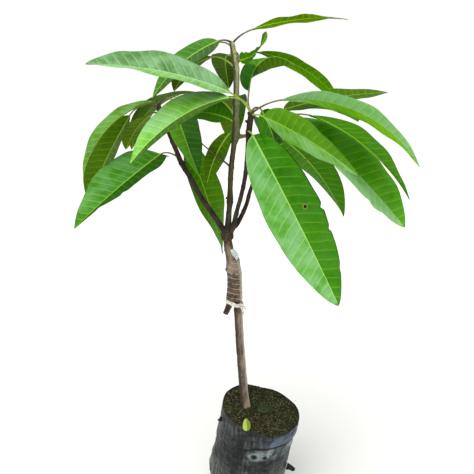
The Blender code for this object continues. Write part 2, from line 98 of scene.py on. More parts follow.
# Stems: points along each axis and the radius at each point
ROOTSTOCK = (
    ((-0.005, 0.003, 0.185), 0.0092),
    ((-0.007, 0.003, 0.198), 0.0084),
    ((-0.010, 0.003, 0.215), 0.0074),
    ((-0.018, 0.001, 0.265), 0.0069),
    ((-0.027, 0.000, 0.325), 0.0067),
    ((-0.034, 0.000, 0.379), 0.0067),
    ((-0.0378, 0.000, 0.414), 0.0065),
    ((-0.0415, 0.000, 0.447), 0.0060),
    ((-0.0445, 0.000, 0.469), 0.0046),
)
SCION = (
    ((-0.0535, -0.006, 0.373), 0.0042),
    ((-0.0480, -0.004, 0.392), 0.0049),
    ((-0.0472, -0.003, 0.4225), 0.0054),
    ((-0.0512, -0.002, 0.4555), 0.0062),
    ((-0.0565, 0.000, 0.479), 0.0064),
    ((-0.0600, 0.000, 0.498), 0.0066),
    ((-0.0610, 0.000, 0.508), 0.0060),
)
KNUCKLE_HEIGHT = 0.507
KNUCKLE_RADIUS = 0.0092
KNUCKLE_REACH = 0.0120
LIMBS = {
    "left": (
        ((-0.062, 0.001, 0.504), 0.0042), ((-0.085, 0.008, 0.531), 0.0039),
        ((-0.107, 0.016, 0.557), 0.0038), ((-0.123, 0.023, 0.580), 0.0037),
        ((-0.138, 0.029, 0.600), 0.0039), ((-0.151, 0.036, 0.624), 0.0035),
        ((-0.163, 0.042, 0.647), 0.0034), ((-0.175, 0.047, 0.672), 0.0034),
        ((-0.179, 0.048, 0.680), 0.0032),
    ),
    "leader": (
        ((-0.060, 0.000, 0.508), 0.0044), ((-0.061, 0.001, 0.526), 0.0042),
        ((-0.061, 0.002, 0.545), 0.0040), ((-0.061, 0.003, 0.557), 0.0048),
        ((-0.062, 0.004, 0.572), 0.0039), ((-0.063, 0.005, 0.598), 0.0037),
        ((-0.062, 0.007, 0.634), 0.0038), ((-0.060, 0.008, 0.650), 0.0055),
        ((-0.062, 0.009, 0.672), 0.0043), ((-0.063, 0.010, 0.689), 0.0043),
        ((-0.065, 0.011, 0.718), 0.0042), ((-0.067, 0.012, 0.740), 0.0040),
        ((-0.074, 0.012, 0.768), 0.0038), ((-0.078, 0.012, 0.776), 0.0036),
    ),
    "front": (
        ((-0.057, -0.003, 0.511), 0.0036), ((-0.053, -0.006, 0.520), 0.0034),
        ((-0.049, -0.012, 0.548), 0.0031), ((-0.0455, -0.018, 0.569), 0.0030),
        ((-0.0425, -0.025, 0.595), 0.0030), ((-0.0415, -0.032, 0.619), 0.0031),
        ((-0.042, -0.041, 0.649), 0.0034), ((-0.0425, -0.045, 0.665), 0.0038),
        ((-0.042, -0.049, 0.682), 0.0038), ((-0.0415, -0.051, 0.694), 0.0036),
    ),
    "right": (
        ((-0.055, 0.002, 0.515), 0.0032), ((-0.047, 0.004, 0.522), 0.0030),
        ((-0.037, 0.012, 0.547), 0.0029), ((-0.032, 0.020, 0.571), 0.0028),
        ((-0.024, 0.028, 0.600), 0.0028), ((-0.0135, 0.036, 0.635), 0.0029),
        ((-0.003, 0.041, 0.664), 0.0030), ((0.003, 0.043, 0.679), 0.0030),
    ),
}

# Sides of each stem's rings, and rings in a metre of limb
ROOTSTOCK_SIDES = 84
SCION_SIDES = 76
LIMB_SIDES = 44
STUB_SIDES = 20
LIMB_ROWS = 1800
# Stubs of old twigs on each limb: foot, headings, pitches, length and radius
STUBS = {
    "leader": (((-0.060, 0.008, 0.650), (10, 5), (-4, 24), 0.020, 0.0040),
               ((-0.061, 0.003, 0.557), (200, 195), (25, 35), 0.0075, 0.0028)),
    "left": (((-0.172, 0.046, 0.668), (170, 165), (20, 30), 0.010, 0.0020),
             ((-0.138, 0.029, 0.600), (20, 10), (10, 0), 0.0065, 0.0026)),
    "front": (((-0.042, -0.047, 0.676), (200, 190), (30, 45), 0.0085, 0.0024),
              ((-0.042, -0.048, 0.680), (-60, -70), (25, 50), 0.0075, 0.0026)),
    "right": (((-0.024, 0.028, 0.600), (190, 185), (30, 40), 0.0065, 0.0022),),
}

# Each leaf: name, which begins with its limb's, height of its foot, headings and
# pitches in degrees (foot, blade base, tip), stalk and blade length and blade width
# in mm, roll in degrees (base, tip), fold in degrees and how full the blade is
# toward its base and its tip (smaller is fuller)
Leaf = collections.namedtuple(
    "Leaf", "name foot turns pitches stalk length width rolls fold fullness")
LEAVES = [Leaf(*row) for row in (
    ("front_01", 0.690, (-170, -155, -163), (60, 19, -4), 40, 178, 64, (36, 14), 18, (0.68, 0.68)),
    ("front_02", 0.690, (-135, -143, -143), (65, -8, -52), 45, 157, 57, (12, 8), 20, (0.62, 0.95)),
    ("front_04", 0.692, (165, 65, 8), (50, 92, -40), 28, 96, 38, (-85, -25), 56, (0.55, 0.90)),
    ("front_05", 0.690, (10, -6, -52), (45, 11, -43), 45, 202, 58, (20, 46), 4, (0.62, 0.82)),
    ("front_06", 0.688, (-60, -34, -35), (20, -11, -27), 25, 146, 72, (55, 35), 2, (0.64, 0.80)),
    ("front_07", 0.665, (-115, -8, -30), (45, -56, -55), 15, 256, 90, (-42, -36), 4, (0.50, 0.72)),
    ("front_08", 0.690, (60, 26, 62), (75, -55, -74), 24, 136, 56, (-70, -30), 2, (0.50, 0.80)),
    ("left_01", 0.600, (-215, -117, -128), (55, -17, -34), 40, 178, 82, (6, -6), 23, (0.60, 0.90)),
    ("left_02", 0.678, (-100, -145, -138), (65, -12, -76), 15, 154, 55, (-3, -13), 14, (0.60, 0.80)),
    ("left_03", 0.676, (-170, -186, -190), (20, -60, -69), 50, 154, 64, (-23, -28), 24, (0.60, 0.82)),
    ("left_04", 0.678, (-40, -60, -42), (60, -45, -54), 52, 111, 51, (-6, -4), 18, (0.45, 0.95)),
    ("left_05", 0.630, (60, 8, 74), (80, -69, -62), 33, 225, 60, (-86, -64), 18, (0.75, 0.80)),
    ("left_06", 0.668, (165, 140, 130), (5, -30, -60), 20, 95, 40, (10, 0), 15, (0.62, 0.80)),
    ("leader_01", 0.673, (120, 160, 130), (42, 0, -75), 78, 190, 52, (-8, 10), 6, (0.60, 0.80)),
    ("leader_02", 0.605, (200, 122, 115), (38, 20, -30), 72, 110, 34, (0, 0), 15, (0.62, 0.80)),
    ("leader_03", 0.695, (85, 98, 81), (60, -11, -60), 20, 170, 48, (10, 32), 16, (0.60, 0.75)),
    ("leader_04", 0.660, (95, 142, 150), (45, 12, -14), 20, 85, 50, (32, 25), 12, (0.60, 0.80)),
    ("leader_05", 0.757, (155, 103, 75), (5, 0, -52), 14, 126, 43, (5, 15), 15, (0.62, 0.78)),
    ("leader_06", 0.774, (-145, -158, -155), (25, -24, -60), 20, 119, 46, (21, 24), 6, (0.5, 1.0)),
    ("leader_07", 0.762, (120, 175, 165), (55, -10, -70), 30, 100, 42, (0, 0), 15, (0.62, 0.80)),
    ("leader_08", 0.740, (175, 130, 125), (45, -10, -50), 45, 120, 42, (0, 0), 15, (0.62, 0.80)),
    ("leader_09", 0.750, (-60, -14, -3), (30, 12, 88), 8, 54, 28, (52, -42), 5, (0.34, 0.60)),
    ("leader_10", 0.772, (20, -12, 35), (55, 20, 0), 35, 136, 47, (-19, -4), 4, (0.62, 0.78)),
    ("leader_11", 0.743, (-5, 11, 7), (75, -5, -50), 40, 154, 51, (-19, -32), 2, (0.62, 0.78)),
    ("leader_12", 0.655, (70, 208, 222), (30, -50, -82), 17, 80, 28, (40, 60), 6, (0.60, 0.80)),
    ("right_01", 0.636, (35, 39, 14), (55, -28, -60), 35, 192, 62, (52, 6), 15, (0.60, 0.75)),
    ("right_02", 0.675, (-40, -34, -10), (50, -29, -44), 35, 216, 82, (-8, -44), 22, (0.65, 0.76)),
    ("right_03", 0.677, (-15, -51, -8), (25, -3, -54), 50, 190, 75, (5, -2), 13, (0.65, 0.80)),
    ("right_04", 0.678, (100, 35, 14), (65, 15, 5), 15, 185, 50, (-16, -16), 6, (0.60, 0.80)),
    ("right_05", 0.677, (80, 45, 55), (30, 5, -20), 30, 220, 60, (0, 10), 15, (0.62, 0.80)),
    ("right_06", 0.655, (115, 90, 75), (15, 10, -65), 25, 170, 58, (0, 0), 15, (0.62, 0.80)),
    ("right_07", 0.670, (60, 20, 60), (20, -15, -35), 35, 200, 58, (0, 0), 15, (0.62, 0.80)),
)]
# Points along and across a blade, along and round a stalk, and a stalk's radius
BLADE_ROWS = 110
BLADE_COLUMNS = 37
STALK_ROWS = 26
STALK_SIDES = 14
STALK_RADIUS = 0.0012
# Length of blade whose vein spacing every plain underside takes, in metres
UNDER_LENGTH = 0.15
# Side veins: spacing of a blade a metre long, slant, and arch per metre across
VEIN_SPREAD = 0.0275
VEIN_SLANT = 0.34
VEIN_ARCH = 3.5

# Colours of leaf tissue, red green blue from 0 to 255. The paler, bluer greens,
# such as silver and sheen, hold a painted bluish sheen
GREENS = {
    "deep": (28, 84, 4),
    "dark": (34, 96, 4),
    "shade": (46, 92, 2),
    "leaf": (56, 118, 6),
    "mid": (54, 126, 2),
    "grass": (76, 136, 4),
    "clear": (76, 154, 5),
    "fresh": (78, 139, 6),
    "bright": (94, 164, 18),
    "meadow": (112, 174, 60),
    "light": (114, 184, 58),
    "lime": (142, 208, 18),
    "olive": (66, 104, 2),
    "moss": (70, 112, 4),
    "brown_olive": (60, 88, 0),
    "warm": (72, 108, 0),
    "soft": (78, 128, 22),
    "sheen": (98, 172, 64),
    "silver": (88, 138, 74),
    "frost": (148, 212, 124),
    "glint": (60, 130, 20),
    "pale": (120, 184, 84),
}
# Each leaf's greens on the +side and -side of its midrib and on its underside,
# the kind of stalk, the ripple of its margins in mm, and the gloss
# The two halves' greens stand for how light falls on each: a painted bluish sheen on one half, and on
# the other painted light shining through the blade on some leaves and painted shade on others
LOOKS = {
    "front_01": ("silver", "pale", "olive", "green", 2.2, 0.22),
    "front_02": ("light", "shade", "leaf", "green", 1.6, 0.14),
    "front_04": ("leaf", "olive", "olive", "brown", 1.5, 0.06),
    "front_05": ("frost", "lime", "sheen", "brown", 1.8, 0.25),
    "front_06": ("fresh", "meadow", "fresh", "green", 1.2, 0.12),
    "front_07": ("sheen", "mid", "leaf", "green", 2.0, 0.14),
    "front_08": ("mid", "deep", "dark", "brown", 1.5, 0.06),
    "left_01": ("glint", "deep", "olive", "brown", 2.4, 0.06),
    "left_02": ("soft", "brown_olive", "olive", "brown", 1.5, 0.05),
    "left_03": ("olive", "moss", "olive", "brown", 1.8, 0.04),
    "left_04": ("bright", "dark", "olive", "brown", 1.2, 0.16),
    "left_05": ("grass", "grass", "olive", "brown", 2.0, 0.04),
    "left_06": ("warm", "warm", "warm", "brown", 2.0, 0.03),
    "leader_01": ("warm", "moss", "warm", "green", 1.5, 0.03),
    "leader_02": ("olive", "dark", "shade", "brown", 1.5, 0.04),
    "leader_03": ("shade", "olive", "shade", "green", 2.0, 0.03),
    "leader_04": ("leaf", "leaf", "leaf", "green", 1.5, 0.03),
    "leader_05": ("brown_olive", "olive", "shade", "green", 2.0, 0.03),
    "leader_06": ("leaf", "shade", "shade", "brown", 1.4, 0.20),
    "leader_07": ("dark", "dark", "dark", "brown", 1.5, 0.04),
    "leader_08": ("brown_olive", "brown_olive", "brown_olive", "green", 1.5, 0.03),
    "leader_09": ("grass", "olive", "grass", "brown", 2.6, 0.04),
    "leader_10": ("warm", "warm", "warm", "brown", 2.2, 0.0),
    "leader_11": ("grass", "grass", "leaf", "brown", 1.4, 0.0),
    "leader_12": ("olive", "moss", "olive", "brown", 1.0, 0.04),
    "right_01": ("leaf", "leaf", "leaf", "brown", 1.5, 0.04),
    "right_02": ("frost", "clear", "mid", "brown", 2.4, 0.18),
    "right_03": ("bright", "leaf", "mid", "brown", 1.6, 0.01),
    "right_04": ("olive", "olive", "olive", "brown", 1.8, 0.04),
    "right_05": ("leaf", "leaf", "leaf", "brown", 2.0, 0.04),
    "right_06": ("leaf", "dark", "dark", "brown", 2.0, 0.04),
    "right_07": ("leaf", "leaf", "leaf", "brown", 2.0, 0.04),
}
# Greens that carry a painted bluish sheen, a painted reflection of the bright sky, and the sheen's
# colour
SHEENED = ("silver", "pale", "light", "sheen", "frost", "meadow", "soft", "glint")
SHEEN_TINT = (160, 208, 162)
# Midribs of blades that have one of these greens, and of all others
RIBS = {"silver": (176, 222, 140), "sheen": (176, 226, 108), "light": (182, 224, 104)}
PLAIN_RIB = (146, 196, 62)
# Leaves turned over, so that their underside shows the greens of both halves
TURNED = ("front_04", "front_05", "front_06", "left_03", "leader_01", "leader_03",
          "leader_05", "leader_08", "right_01")
# Length of the foot of a blade that lies under others, darkened with painted shade, in metres
BASE_SHADE = {"front_04": 0.034}
# Blemishes: metres along the blade and across it, and radius
SPOTS = {"front_07": ((0.1166, -0.0200, 0.0030),), "right_01": ((0.060, -0.002, 0.0022),)}
# Dents in the margins: side, share of the way along, width and depth as shares,
# with a negative depth where the margin swells instead
NICKS = {
    "front_07": ((-1, 0.50, 0.012, 0.10), (-1, 0.62, 0.010, 0.07), (-1, 0.83, 0.02, 0.06)),
    "left_01": ((-1, 0.62, 0.02, 0.08), (-1, 0.80, 0.03, 0.10), (1, 0.03, 0.02, -0.6),
                (-1, 0.03, 0.02, -0.6)),
    "leader_09": ((1, 0.2, 0.03, 0.35), (1, 0.35, 0.03, 0.30), (1, 0.52, 0.03, 0.30),
                  (-1, 0.3, 0.03, 0.25), (-1, 0.45, 0.03, 0.3)),
    "right_02": ((1, 0.70, 0.03, 0.10), (1, 0.82, 0.03, 0.08)),
    "leader_10": ((-1, 0.62, 0.02, 0.12), (-1, 0.78, 0.02, 0.15)),
}

# Moss: name, sprigs scattered, their height in metres, and two colours
MOSS = (
    ("moss_dark", 7000, 0.0016, (26, 29, 15), (52, 56, 28)),
    ("moss_green", 6500, 0.0022, (48, 60, 28), (82, 94, 52)),
    ("moss_straw", 1000, 0.0022, (84, 82, 58), (132, 128, 98)),
    ("moss_patch", 12000, 0.0024, (46, 80, 48), (92, 132, 88)),
)
# The bright patch that moss_patch keeps to: centre, and reach along x and y
PATCH_CENTRE = (0.025, 0.002)
PATCH_REACH = (0.018, 0.014)
GRIT_COUNT = 900
FIBRE_COUNT = 80


# ---------------------------------------------------------------- numbers

def linear(colour):
    """Screen colour from 0 to 255 as scene-linear colour with full opacity."""
    share = np.array(colour) / 255.0
    low = share / 12.92
    high = ((share + 0.055) / 1.055) ** 2.4
    return (*np.where(share <= 0.04045, low, high), 1.0)


def unit(vectors):
    """Vectors divided by their lengths."""
    return vectors / np.maximum(np.linalg.norm(vectors, axis=-1, keepdims=True), 1e-9)


def ease(low, high, values):
    """3t^2 - 2t^3 of the share t of the way from low to high, held between 0 and 1."""
    t = np.clip((values - low) / (high - low), 0.0, 1.0)
    return t * t * (3.0 - 2.0 * t)


def hump(values, centre, width):
    """Bell e^-(d/width)^2 of the distance d from the centre."""
    return np.exp(-((values - centre) / width) ** 2)


def grain(places, seed):
    """Smooth noise from -1 to 1: a hashed value at each whole-number corner of
    space, blended inside a cell by 3t^2 - 2t^3 of each coordinate's fraction."""
    cell = np.floor(places).astype(np.int64)
    part = places - cell
    part = part * part * (3.0 - 2.0 * part)
    total = np.zeros(places.shape[:-1])
    for corner in range(8):
        offset = np.array([(corner >> axis) & 1 for axis in range(3)])
        at = cell + offset
        mixed = (at[..., 0] * 73856093) ^ (at[..., 1] * 19349663) ^ (at[..., 2] * 83492791)
        mixed = (mixed + seed * 7919) & 0xFFFFFFFF
        mixed = ((mixed ^ (mixed >> 15)) * 2246822519) & 0xFFFFFFFF
        mixed = ((mixed ^ (mixed >> 13)) * 3266489917) & 0xFFFFFFFF
        value = ((mixed ^ (mixed >> 16)) & 0xFFFF) / 32767.5 - 1.0
        total += value * np.prod(np.where(offset == 1, part, 1.0 - part), axis=-1)
    return total


def rough(places, seed, layers):
    """Sum of grain at doubling frequency and halving strength, about -1 to 1."""
    total = 0.0
    for layer in range(layers):
        total = total + grain(places * 2.0 ** layer, seed + layer) * 0.5 ** layer
    return total


def crease(places, seed, layers):
    """Sharp folds from 0 to 1: one minus the size of rough noise, squared."""
    return (1.0 - np.minimum(np.abs(rough(places, seed, layers)), 1.0)) ** 2


def round_turns(count):
    """Angles of equal steps round a full circle, from 0."""
    return np.arange(count) * 2 * np.pi / count


def walked_along(path):
    """Distance from the start of a path to each of its points."""
    return np.append(0.0, np.cumsum(np.linalg.norm(np.diff(path, axis=0), axis=1)))


def spline_rows(points, count):
    """Rows (x, y, z, radius) at equal distances along the Catmull-Rom curve
    through the points."""
    rows = np.array([(*place, radius) for place, radius in points])
    ends = np.vstack([2 * rows[0] - rows[1], rows, 2 * rows[-1] - rows[-2]])
    at = np.linspace(0, len(rows) - 1, count * 4)
    first = np.minimum(at.astype(int), len(rows) - 2)
    t = (at - first)[:, None]
    a, b, c, d = ends[first], ends[first + 1], ends[first + 2], ends[first + 3]
    fine = 0.5 * (2 * b + (c - a) * t + (2 * a - 5 * b + 4 * c - d) * t ** 2
                  + (3 * b - a - 3 * c + d) * t ** 3)
    walked = walked_along(fine[:, :3])
    wanted = np.linspace(0.0, walked[-1], count)
    return np.stack([np.interp(wanted, walked, column) for column in fine.T], -1)


def cross_axes(path):
    """Two directions square to a path at each point, with x a cross product: along x
    fixed axis, and along x that. The path follows the fixed axis the least."""
    along = unit(np.gradient(path, axis=0))
    fixed = np.eye(3)[np.argmin(np.abs(along).max(axis=0))]
    side = unit(np.cross(along, fixed))
    return side, np.cross(along, side)


# ---------------------------------------------------------------- meshes

def ring_faces(rows, columns, start):
    """Four-cornered faces between successive closed rings of points, numbered from
    start."""
    row, column = np.meshgrid(np.arange(rows - 1), np.arange(columns), indexing="ij")
    after = (column + 1) % columns
    a, b = row * columns + column, row * columns + after
    return np.stack([a, b, b + columns, a + columns], -1).reshape(-1, 4) + start


def ring_places(rows, columns):
    """Map places of the corners of ring_faces, running from 0 to 1 both ways."""
    row, column = np.meshgrid(np.arange(rows - 1), np.arange(columns), indexing="ij")
    corners = [np.stack([(column + right) / columns, (row + up) / (rows - 1)], -1)
               for right, up in ((0, 0), (1, 0), (1, 1), (0, 1))]
    return np.stack(corners, 2).reshape(-1, 4, 2)


def end_to_end(parts):
    """The numbers of several arrays in one row."""
    return np.concatenate([part.ravel() for part in parts])


class Shape:
    """Points, faces and map places of one piece, gathered part by part."""

    def __init__(self):
        self.points, self.count, self.values = [], 0, {}
        self.faces = {4: [], 3: []}

    def keep(self, points, values=None):
        """Add points, with the named values that they carry, and give the number
        of the first."""
        start = self.count
        self.points.append(points.reshape(-1, 3))
        self.count += len(self.points[-1])
        for name, value in (values or {}).items():
            self.values.setdefault(name, []).append((start, value.reshape(-1, 3)))
        return start

    def cover(self, corners, places, slots=0):
        """Add faces of four or three corners, their map places and finish numbers."""
        slots = np.broadcast_to(slots, len(corners))
        self.faces[corners.shape[1]].append((corners, places, slots))

    def rings(self, points, slots=0, values=None):
        """A closed surface of rings, with a pole point at each end."""
        rows, columns = points.shape[:2]
        start = self.keep(points, values)
        slots = np.broadcast_to(slots, (rows - 1, columns))
        self.cover(ring_faces(rows, columns, start), ring_places(rows, columns),
                   slots.reshape(-1))
        ends = {name: np.stack([value[0].mean(0), value[-1].mean(0)])
                for name, value in (values or {}).items()}
        poles = self.keep(np.stack([points[0].mean(0), points[-1].mean(0)]), ends)
        step = np.arange(columns)
        pair = np.stack([step, (step + 1) % columns])
        across = np.stack([step, step + 1]) / columns
        last = start + (rows - 1) * columns
        for first, pole, along, way, slot in ((start, poles, 0.0, -1, slots[0]),
                                              (last, poles + 1, 1.0, 1, slots[-1])):
            corners = np.stack([np.full(columns, pole), *(first + pair[::way])], -1)
            places = [np.stack([side, np.full(columns, along)], -1)
                      for side in (across.mean(0), *across[::way])]
            self.cover(corners, np.stack(places, 1), slot)

    def piece(self, name, finishes, nodes, smooth=True):
        """The mesh object of everything gathered. It rides with the plant, in
        place of the frame's nodes, which it hides."""
        points = np.vstack(self.points)
        corners, places, slots = zip(*self.faces[4], *self.faces[3])
        sizes = np.concatenate([np.full(len(part), part.shape[1]) for part in corners])
        starts = np.cumsum(sizes) - sizes
        mesh = bpy.data.meshes.new(name)
        mesh.vertices.add(len(points))
        mesh.vertices.foreach_set("co", points.astype(np.float32).ravel())
        mesh.loops.add(int(sizes.sum()))
        mesh.loops.foreach_set("vertex_index", end_to_end(corners).astype(np.int32))
        mesh.polygons.add(len(sizes))
        mesh.polygons.foreach_set("loop_start", starts.astype(np.int32))
        mesh.polygons.foreach_set("material_index", end_to_end(slots).astype(np.int32))
        mesh.update(calc_edges=True)
        layer = mesh.uv_layers.new(name="surface")
        layer.uv.foreach_set("vector", end_to_end(places).astype(np.float32))
        for value_name, parts in self.values.items():
            whole = np.zeros((len(points), 3))
            for start, value in parts:
                whole[start:start + len(value)] = value
            held = mesh.attributes.new(value_name, "FLOAT_VECTOR", "POINT")
            held.data.foreach_set("vector", whole.astype(np.float32).ravel())
        mesh.polygons.foreach_set("use_smooth", np.full(len(sizes), smooth))
        for finish in finishes:
            mesh.materials.append(finish)
        obj = bpy.data.objects.new(name, mesh)
        bpy.context.scene.collection.objects.link(obj)
        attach(obj, "root")
        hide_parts(*nodes)
        return obj


def tube_points(path, radius, sides, relief=None):
    """Rings along a path: centre + (radius + relief)(cos t side + sin t up), with
    relief worked out from the ring angle and the distance walked."""
    side, up = cross_axes(path)
    turn = round_turns(sides)
    radius = np.broadcast_to(radius, (len(path),))[:, None]
    reach = np.broadcast_to(radius, (len(path), sides)).copy()
    if relief is not None:
        walked = walked_along(path)
        on_ring = np.stack([
            np.cos(turn)[None, :] * radius,
            np.sin(turn)[None, :] * radius,
            np.broadcast_to(walked[:, None], reach.shape)], -1)
        reach += relief(on_ring, walked[:, None], turn[None, :])
    return (path[:, None] + reach[..., None]
            * (np.cos(turn)[None, :, None] * side[:, None]
               + np.sin(turn)[None, :, None] * up[:, None]))


# ---------------------------------------------------------------- materials

class Finish:
    """A material put together from nodes round one Principled shader. Colours of
    three numbers are screen colours from 0 to 255."""

    def __init__(self, name, roughness, specular=0.5):
        self.material = bpy.data.materials.new(name)
        self.material.use_nodes = True
        self.tree = self.material.node_tree
        self.shader = self.tree.nodes["Principled BSDF"]
        self.shader.inputs["Roughness"].default_value = roughness
        self.shader.inputs["Specular IOR Level"].default_value = specular

    def put(self, socket, value):
        """Link an output to an input, or set the input's number or colour."""
        if isinstance(value, bpy.types.NodeSocket):
            self.tree.links.new(value, socket)
        else:
            socket.default_value = value

    def node(self, kind, inputs=(), output=0, **settings):
        """One node with its inputs by number or name, giving one output."""
        made = self.tree.nodes.new("ShaderNode" + kind)
        for key, value in settings.items():
            setattr(made, key, value)
        for key, value in (inputs.items() if isinstance(inputs, dict) else enumerate(inputs)):
            self.put(made.inputs[key], value)
        return made.outputs[output]

    def maths(self, operation, *values):
        """A working, such as a product or a size, of one or two numbers."""
        return self.node("Math", values, operation=operation)

    def times(self, a, b):
        """a times b."""
        return self.maths("MULTIPLY", a, b)

    def plus(self, a, b):
        """a plus b."""
        return self.maths("ADD", a, b)

    def swayed(self, value, noise, reach):
        """A value moved up and down by a noise, half of reach each way."""
        return self.plus(value, self.times(self.plus(noise, -0.5), reach))

    def ramp(self, value, low, high, out_low=0.0, out_high=1.0):
        """Smooth step of a value between two levels."""
        return self.node("MapRange", {0: value, 1: low, 2: high, 3: out_low, 4: out_high},
                         interpolation_type="SMOOTHSTEP", clamp=True)

    def mix(self, share, first, second, way="MIX"):
        """Two colours mixed by a share."""
        first, second = (linear(colour) if isinstance(colour, tuple) and len(colour) == 3
                         else colour for colour in (first, second))
        return self.node("Mix", {0: share, 6: first, 7: second}, output=2,
                         data_type="RGBA", blend_type=way)

    def dimmed(self, colour, *shares):
        """A colour multiplied by shares of red, green and blue."""
        return self.mix(1.0, colour, (*shares, 1.0), "MULTIPLY")

    def layers(self, colour, *rows):
        """Colours laid over one another. Each row has a value, the levels between
        which its layer comes in, the share that it grows to, and its colour."""
        for value, low, high, share, tint in rows:
            colour = self.mix(self.ramp(value, low, high, 0.0, share), colour, tint)
        return colour

    def noise(self, place, scale, detail, rough_share=0.55, distortion=0.0):
        """Layered noise from 0 to 1."""
        return self.node("TexNoise", {"Vector": place, "Scale": scale, "Detail": detail,
                                      "Roughness": rough_share, "Distortion": distortion})

    def cells(self, place, scale, feature="F1"):
        """Distance to the nearest cell's middle, or to its edge."""
        return self.node("TexVoronoi", {"Vector": place, "Scale": scale}, feature=feature)

    def object_place(self):
        """Place on the object, in metres."""
        return self.node("TexCoord", output=3)

    def way_along(self):
        """Share of the way along a blade or stalk, from the piece's own map."""
        return self.node("SeparateXYZ", [self.node("TexCoord", output=2)], output=1)

    def facing_right(self):
        """How far the surface faces +X, from -1 to 1."""
        return self.split(self.node("NewGeometry", output=1))[0]

    def held(self, name):
        """The three numbers of a named value carried by the piece's points."""
        return self.split(self.node("Attribute", output=1, attribute_name=name))

    def split(self, vector):
        """The three numbers of a vector."""
        made = self.tree.nodes.new("ShaderNodeSeparateXYZ")
        self.tree.links.new(vector, made.inputs[0])
        return made.outputs[0], made.outputs[1], made.outputs[2]

    def stretched(self, place, *scale):
        """A place scaled differently along each axis."""
        return self.node("Mapping", {"Vector": place, "Scale": scale})

    def colour(self, value):
        """Set the surface's colour."""
        self.put(self.shader.inputs["Base Color"], value)

    def roughness(self, value):
        """Set the surface's roughness."""
        self.put(self.shader.inputs["Roughness"], value)

    def bump(self, height, strength, depth):
        """Raise the surface by a height from 0 to 1, times a depth in metres."""
        self.put(self.shader.inputs["Normal"],
                 self.node("Bump", {"Strength": strength, "Distance": depth,
                                    "Height": height}))


def vein_green(green):
    """The paler green of the veins in a tissue."""
    return tuple(np.array(green, float) * (1.0, 1.0, 1.15) + (52, 48, 14))


def vein_gap(length):
    """Spacing of the side veins of a blade of the given length, in metres:
    it grows with the length's square root."""
    return VEIN_SPREAD * math.sqrt(length)


def vein_course(f, place, along, reach, right, gap):
    """Number of the side vein that passes a point, with its fraction: metres along,
    less a slant and an arch across, over the gap. Veins of the two halves alternate."""
    drift = f.times(f.plus(f.noise(place, 38.0, 2.0), -0.5), 0.006)
    course = f.plus(along, f.plus(f.times(reach, -VEIN_SLANT), drift))
    course = f.plus(course, f.times(f.times(reach, reach), -VEIN_ARCH))
    return f.plus(f.times(course, 1.0 / gap), f.times(right, 0.5))


def spotted(f, tissue, along, across, speck, spots):
    """Tissue with round blemishes: a yellowed ring about a dead middle."""
    for spot_along, spot_across, radius in spots:
        place = f.node("CombineXYZ", (along, across, 0.0))
        away = f.node("VectorMath", (place, (spot_along, spot_across, 0.0)), 1,
                      operation="DISTANCE")
        away = f.swayed(f.times(away, 1.0 / radius), speck, 0.5)
        tissue = f.layers(tissue, (away, 1.6, 1.1, 1.0, (132, 138, 54)),
                          (away, 0.9, 0.6, 1.0, (16, 20, 8)))
    return tissue


